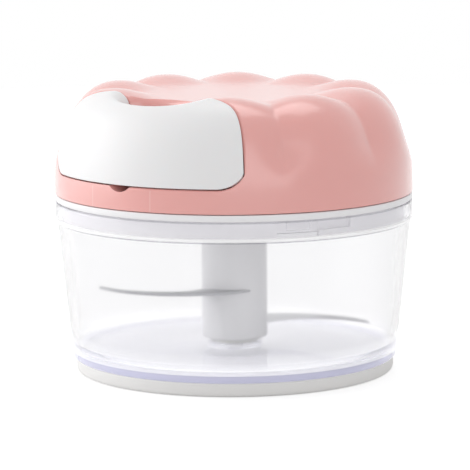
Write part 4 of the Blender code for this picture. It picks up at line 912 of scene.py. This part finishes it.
def make_handle():
    """Handle shell with rounded edges and the finger dip."""
    knot = disc_points(0.0, 0.0, KNOT_R, 24)
    behind, below = rim_behind(HANDLE_GAP, False), rim_below(HANDLE_GAP, False)
    cuts = [
        ("INTERSECT", recess(HANDLE_GAP)),
        ("DIFFERENCE", pocket(0.0, POCKET_FLOOR)),
        ("DIFFERENCE", back_plate_room()),
        ("DIFFERENCE", rod(knot, KNOT_BACK, KNOT_FRONT, -KNOT_O, CORD_Z)),
        ("DIFFERENCE", fillet(behind, HANDLE_EDGE_BEHIND, -1)),
        ("DIFFERENCE", fillet(below, HANDLE_EDGE_BELOW, -1)),
    ]
    mesh = carve("handle_skin", dome_shape(HANDLE_SEGMENTS, petals=False), cuts, 50.0)
    link("handle_skin", mesh, white, "handle", ["handle_grip"])


# Bowl, base and lid ring. The points of a profile are (radius, height, corner radius).


def lock_angle(index):
    """Direction of a lug and of the slot that it enters."""
    return LOCK_START + 2 * math.pi * index / LUGS


def make_bowl():
    """Clear bowl: rounded foot, flared wall, collar with lugs, boss."""
    flare = (TOP_R - FOOT_R) * (FOOT_BEND - BOWL_BOTTOM) / (COLLAR_LOW - BOWL_BOTTOM)
    inside = FOOT_R + flare - FOOT_WALL
    profile = round_profile(
        [
            (0.0, HOLLOW_TOP, 0),
            (HOLLOW_R, HOLLOW_TOP, 0.0003),
            (HOLLOW_R, BOWL_BOTTOM, 0.0003),
            (FOOT_R, BOWL_BOTTOM, 0.0011),
            (TOP_R, COLLAR_LOW, 0.0003),
            (COLLAR_R, COLLAR_LOW + COLLAR_STEP, 0.0004),
            (COLLAR_R, COLLAR_TOP, 0.0004),
            (COLLAR_IN, COLLAR_TOP, 0.0004),
            (COLLAR_IN, LEDGE, 0.0003),
            (LEDGE_IN, LEDGE, 0.0003),
            (inside, FOOT_BEND, 0.0005),
            (inside - FLOOR_CORNER, FLOOR_TOP, 0.0024),
            (BOSS_R, FLOOR_TOP, 0.0005),
            (BOSS_R, BOSS_TOP, 0.0004),
            (PIN_R + CLEARANCE, BOSS_TOP, 0),
            (PIN_R + CLEARANCE, BOSS_TOP - PIN_DEPTH, 0),
            (0.0, BOSS_TOP - PIN_DEPTH, 0),
        ]
    )
    lugs = []
    for index in range(LUGS):
        width = LUG_W / 2
        corners = [
            (LUG_IN, -width, LUG_ROUND),
            (COLLAR_IN + LUG_ROOT, -width, 0),
            (COLLAR_IN + LUG_ROOT, width, 0),
            (LUG_IN, width, LUG_ROUND),
        ]
        outline = round_profile(corners, closed=True)
        block = prism(outline, COLLAR_TOP - LUG_H, COLLAR_TOP - CLEARANCE)
        lugs.append(moved(block, Matrix.Rotation(lock_angle(index), 4, "Z")))
    mesh = carve("bowl_clear", revolve(profile), [("UNION", gather(lugs))])
    link("bowl_clear", mesh, glass, "bowl", ["bowl"])


def make_base():
    """Soft base pad under the bowl, with its plug in the foot's hollow."""
    profile = round_profile(
        [
            (0.0, TREAD_H, 0),
            (TREAD_IN, TREAD_H, 0.0003),
            (TREAD_FOOT, 0.0, 0.0003),
            (BASE_R, 0.0, 0.0014),
            (BASE_R, BASE_TOP, 0.0007),
            (BASE_PLUG_R, BASE_TOP, 0),
            (BASE_PLUG_R, BASE_PLUG_TOP, 0.0002),
            (0.0, BASE_PLUG_TOP, 0),
        ]
    )
    mesh = to_mesh("base_pad_soft", revolve(profile))
    link("base_pad_soft", mesh, rubber_with_painted_top_light, "bowl", ["base_pad"])


def lock_cuts():
    """Entry slots of the lugs, and the tracks in which they turn."""
    outer = SKIRT_R + SLOT_PAST
    reach = LOCK_TURN + LUG_W / 2 / LUG_IN + LUG_GAP / LUG_IN
    slot_span = SLOT_W / SKIRT_R
    track_low = COLLAR_TOP - LUG_H - TRACK_UNDER
    slots, tracks = [], []
    for k in range(LUGS):
        angle = lock_angle(k)
        slots.append(sector(LUG_IN - LUG_GAP, outer, angle, slot_span, BELOW, FLANGE_LOW + SINK))
        inner, middle = LUG_IN - TRACK_IN, angle + reach / 2
        tracks.append(sector(inner, outer, middle, reach, track_low, FLANGE_LOW + TRACK_OVER, 20))
    return [("DIFFERENCE", gather(slots)), ("DIFFERENCE", gather(tracks))]


def make_lid_base():
    """White lid base with its flange, slotted skirt, deck and posts."""
    groove = SKIRT_R - GROOVE_DEPTH
    plug = PLUG_IN + CLEARANCE
    profile = round_profile(
        [
            (SHAFT_HOLE_R, DECK_LOW, 0),
            (plug, DECK_LOW, 0),
            (plug, PLUG_LOW, 0.0002),
            (PLUG_OUT, PLUG_LOW, 0.0002),
            (PLUG_OUT, GROOVE_TOP, 0),
            (groove, GROOVE_TOP, 0),
            (groove, SKIRT_LOW, 0.0002),
            (SKIRT_R, SKIRT_LOW, 0.0002),
            (SKIRT_R, FLANGE_LOW, 0),
            (COLLAR_R, FLANGE_LOW, 0.0003),
            (COLLAR_R, FLANGE_TOP, 0.0003),
            (RIM_R, FLANGE_TOP, 0),
            (RIM_R, RIM_TOP, 0.0003),
            (RIM_IN, RIM_TOP, 0.0003),
            (DECK_R, FLANGE_LOW, 0),
            (DECK_R, DECK_TOP, 0.0004),
            (SHAFT_HOLE_R, DECK_TOP, 0),
        ],
        closed=True,
    )
    posts, holes = [], []
    post_low, hole_top = DECK_LOW + SINK, DECK_TOP + FAR
    for angle in HOUSING_SCREWS:
        x, y = around(HOUSING_SCREW_R, angle)
        posts.append(prism(disc_points(x, y, HOUSING_POST_R), post_low, HOUSING_POST_TOP))
        holes.append(prism(disc_points(x, y, SCREW_HOLE_R, 20), HOUSING_HOLE_LOW, hole_top))
    for angle in COVER_SCREWS:
        x, y = around(COVER_SCREW_R, angle)
        posts.append(prism(disc_points(x, y, COVER_POST_R), post_low, COVER_POST_TOP))
        holes.append(prism(disc_points(x, y, SCREW_HOLE_R, 20), BELOW, hole_top))
        holes.append(prism(disc_points(x, y, HEAD_R, 24), HEAD_LOW, DECK_LOW + HEAD_SEAT))
    steps = lock_cuts() + [("UNION", gather(posts))]
    steps += [("DIFFERENCE", hole) for hole in holes]
    mesh = carve("lid_base_moulding", revolve(profile, closed=True), steps)
    link("lid_base_moulding", mesh, band_white, "lid", ["lid_base"])


def make_seal():
    """Silicone ring with a rounded lower lip."""
    corners = [
        (SEAL_IN, SKIRT_LOW, 0.0005),
        (SEAL_OUT, SKIRT_LOW, 0.0005),
        (SEAL_OUT, SEAL_TOP, 0.0002),
        (SEAL_IN, SEAL_TOP, 0.0002),
    ]
    mesh = to_mesh("seal_ring", revolve(round_profile(corners, closed=True), closed=True))
    link("seal_ring", mesh, silicone, "seal", ["sealing_ring"])


# Blade unit


def make_blade(name, node, bottom, angle):
    """Curved blade, ground thin along its inner edge."""
    back = arc_through(BLADE_TIP, BACK_BELLY, BACK_HEEL, 40)
    edge = list(reversed(arc_through(EDGE_HEEL, EDGE_BELLY, BLADE_TIP, 40)))
    top = bottom + SHEET
    rise = Vector((0, 0, 1))
    sections = []
    for (bx, by), (ex, ey) in zip(back, edge):
        b, e = Vector((bx, by, 0)), Vector((ex, ey, 0))
        chamfer, grind = b.lerp(e, 0.03), b.lerp(e, 0.55)
        corners = [
            b + rise * (bottom + SHEET_ROUND),
            b + rise * (top - SHEET_ROUND),
            chamfer + rise * top,
            grind + rise * top,
            e + rise * (bottom + EDGE_SHEET),
            e + rise * bottom,
            chamfer + rise * bottom,
        ]
        sections.append([tuple(p) for p in corners])
    shape = moved(loft(sections[1:]), Matrix.Rotation(angle, 4, "Z"))
    eye = prism(disc_points(0, 0, EYE_R, 48), bottom, top)
    bore = prism(disc_points(0, 0, EYE_BORE, 48), bottom - 0.01, top + 0.01)
    mesh = carve(name, shape, [("UNION", eye), ("DIFFERENCE", bore)], 20.0)
    link(name, mesh, steel_with_painted_shade_below, "blades", [node])


def make_tube():
    """Blade tube with its drive socket and soft edges."""
    profile = round_profile(
        [
            (0.0, BORE_TOP, 0),
            (BORE_R, BORE_TOP, 0),
            (BORE_R, TUBE_LOW, 0.0003),
            (TUBE_R, TUBE_LOW, 0.0009),
            (TUBE_R, TUBE_TOP, 0.0008),
            (SOCKET_R, TUBE_TOP, 0.0003),
            (SOCKET_R, SOCKET_LOW, 0.0004),
            (0.0, SOCKET_LOW, 0),
        ]
    )
    ribs = []
    for k in range(TUBE_RIBS):
        middle = math.pi / 3 + 2 * math.pi * k / TUBE_RIBS
        ribs.append(sector(RIB_IN, RIB_OUT, middle, RIB_SPAN, RIB_LOW, TUBE_TOP - RIB_DROP))
    mesh = carve("blade_tube_moulding", revolve(profile, 96), [("UNION", gather(ribs))])
    link("blade_tube_moulding", mesh, tube_white, "blades", ["blade_tube"])


# Cord


def make_cord():
    """Braided cord from the reel to the handle."""
    start = Vector((0.0137, -0.0107, CORD_Z))
    bend = Vector((0.0, -0.0253, CORD_Z))
    end = Vector((0.0, -0.0386, CORD_Z))
    before = bend - (bend - start).normalized() * CORD_BEND
    after = bend + Vector((0.0, -CORD_BEND, 0.0))
    path = [start.lerp(before, k / 6) for k in range(7)]
    for k in range(1, 8):
        t = k / 8
        path.append(before * (1 - t) ** 2 + bend * 2 * t * (1 - t) + after * t * t)
    path += [after.lerp(end, k / 12) for k in range(13)]
    turns = [2 * math.pi * k / 16 for k in range(16)]
    sections = []
    for index, place in enumerate(path):
        ahead = (path[min(index + 1, len(path) - 1)] - path[max(index - 1, 0)]).normalized()
        side = Vector((0.0, 0.0, 1.0)).cross(ahead).normalized()
        up = ahead.cross(side)
        ring = [place + (side * math.cos(a) + up * math.sin(a)) * CORD_R for a in turns]
        sections.append([tuple(p) for p in ring])
    mesh = to_mesh("cord_run", loft(sections), 50.0)
    obj = link("cord_run", mesh, cord_white, None, ())
    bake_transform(obj)
    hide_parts("cord_lead")


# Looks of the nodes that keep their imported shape


def paint_nodes():
    """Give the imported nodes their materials."""
    screws = ["cover_screw_" + str(index) for index in range(1, 5)]
    screws += ["housing_screw_" + str(index) for index in range(1, 4)]
    acetal = ["pivot_bush", "shaft_bush", "cord_grommet", "spring_lid"]
    acetal += ["drive_shaft", "clutch_rotor", "cord_knot"]
    looks = (
        (pin_steel, ["pivot_pin", "cord_guide", "reel_axle"] + screws),
        (acetal_look, acetal),
        (band_white, ["underside_cover", "reel_housing", "cord_reel"]),
        (steel_with_painted_shade_below, ["recoil_spring"]),
        (cord_white, ["cord_winding"]),
        (white, ["handle_back"]),
    )
    for material, names in looks:
        for name in names:
            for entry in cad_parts[name].material_slots:
                entry.material = material


# Stage, light and camera. Places are given from the camera's side: right of, away from and
# above the object.

VIEW_TURN = math.radians(38.0)
CAMERA_PLACE, CAMERA_PITCH, CAMERA_ROLL = (0.00028, -0.97397, 0.19226), 0.1517, -0.0069
LENS, SENSOR = 231.38, 36.0
FLOOR_RADIUS, FLOOR_DROP = 0.9, 0.0001
FLOOR_COLOUR, FLOOR_SHOWN, FLOOR_GLOW = (0.8, 0.8, 0.8), (0.55, 0.55, 0.55), 0.62
WORLD_LIGHT, WORLD_SHOWN = 0.5, 1.0
SEEN_RAYS = ("Is Camera Ray", "Is Transmission Ray", "Is Glossy Ray")

# Name, place, height aimed at, size, watts and whether it shows in glossy surfaces
LAMPS = (
    ("key", (-0.95, 0.14, 0.34), 0.05, (0.9, 0.7), 5.7, True),
    ("fill", (0.35, -1.45, 0.45), 0.04, (1.2, 0.8), 4.1, True),
    ("top", (0.1, 0.15, 0.95), 0.06, (0.7, 0.5), 2.2, True),
    ("back", (0.1, 0.95, 0.45), 0.08, (0.9, 0.4), 1.8, False),
)


def in_view(place):
    """Point of the scene for a place given from the camera's side."""
    return Matrix.Rotation(VIEW_TURN, 4, "Z") @ Vector(place)


def ground_material(name):
    """White ground that shows white and keeps the object's shadow."""
    material, tree, shader = new_material(name)
    plain = {"Base Color": rgba(FLOOR_COLOUR), "Roughness": 0.9, "Specular IOR Level": 0.0}
    feed(tree, shader, plain)
    matte = add(tree, "ShaderNodeBsdfDiffuse", {"Color": rgba(FLOOR_SHOWN)})
    glow = add(tree, "ShaderNodeEmission", {"Strength": FLOOR_GLOW})
    sum_inputs = {0: matte.outputs["BSDF"], 1: glow.outputs["Emission"]}
    both = add(tree, "ShaderNodeAddShader", sum_inputs)
    seen = rays(tree, *SEEN_RAYS)
    show(tree, "Material Output", seen, shader.outputs["BSDF"], both.outputs["Shader"])
    return material


def make_stage():
    """White floor; the world is the white backdrop."""
    shape = bmesh.new()
    bmesh.ops.create_circle(shape, cap_ends=True, radius=FLOOR_RADIUS, segments=96)
    floor = bpy.data.objects.new("floor", to_mesh("floor", shape))
    floor.location.z = -FLOOR_DROP
    bpy.context.collection.objects.link(floor)
    floor.data.materials.append(ground_material("white_ground"))


def make_world():
    """Soft white surroundings that show as plain white."""
    world = bpy.data.worlds.new("studio")
    bpy.context.scene.world = world
    world.use_nodes = True
    tree = world.node_tree
    back = tree.nodes["Background"]
    feed(tree, back, {"Color": rgba(PALE), "Strength": WORLD_LIGHT})
    shown = add(tree, "ShaderNodeBackground", {"Color": rgba(PALE), "Strength": WORLD_SHOWN})
    first, second = back.outputs["Background"], shown.outputs["Background"]
    show(tree, "World Output", rays(tree, *SEEN_RAYS), first, second)


def make_lights():
    """Large soft lamps."""
    for name, place, target, size, power, shiny in LAMPS:
        light = bpy.data.lights.new(name, "AREA")
        light.shape = "RECTANGLE"
        light.size, light.size_y = size
        light.energy = power
        obj = bpy.data.objects.new(name, light)
        obj.location = in_view(place)
        way = Vector((0, 0, target)) - in_view(place)
        obj.rotation_euler = way.to_track_quat("-Z", "Y").to_euler()
        obj.visible_glossy = shiny
        obj.visible_transmission = False
        bpy.context.collection.objects.link(obj)


def make_camera():
    """Camera at the photograph's place, fitted to the object's outline."""
    data = bpy.data.cameras.new("camera")
    data.sensor_width = SENSOR
    data.lens = LENS
    data.clip_start = 0.01
    camera = bpy.data.objects.new("camera", data)
    turn = (
        Matrix.Rotation(VIEW_TURN, 4, "Z")
        @ Matrix.Rotation(math.pi / 2 - CAMERA_PITCH, 4, "X")
        @ Matrix.Rotation(CAMERA_ROLL, 4, "Z")
    )
    camera.matrix_world = Matrix.Translation(in_view(CAMERA_PLACE)) @ turn
    bpy.context.collection.objects.link(camera)
    bpy.context.scene.camera = camera


make_camera()
make_world()
make_stage()
make_lights()
make_cover()
make_handle()
make_bowl()
make_base()
make_lid_base()
make_seal()
make_tube()
make_blade("upper_blade_steel", "upper_blade", UPPER_BLADE, math.radians(38.0))
make_blade("lower_blade_steel", "lower_blade", LOWER_BLADE, math.radians(218.0))
make_cord()
paint_nodes()

bpy.context.scene.view_settings.view_transform = "Standard"
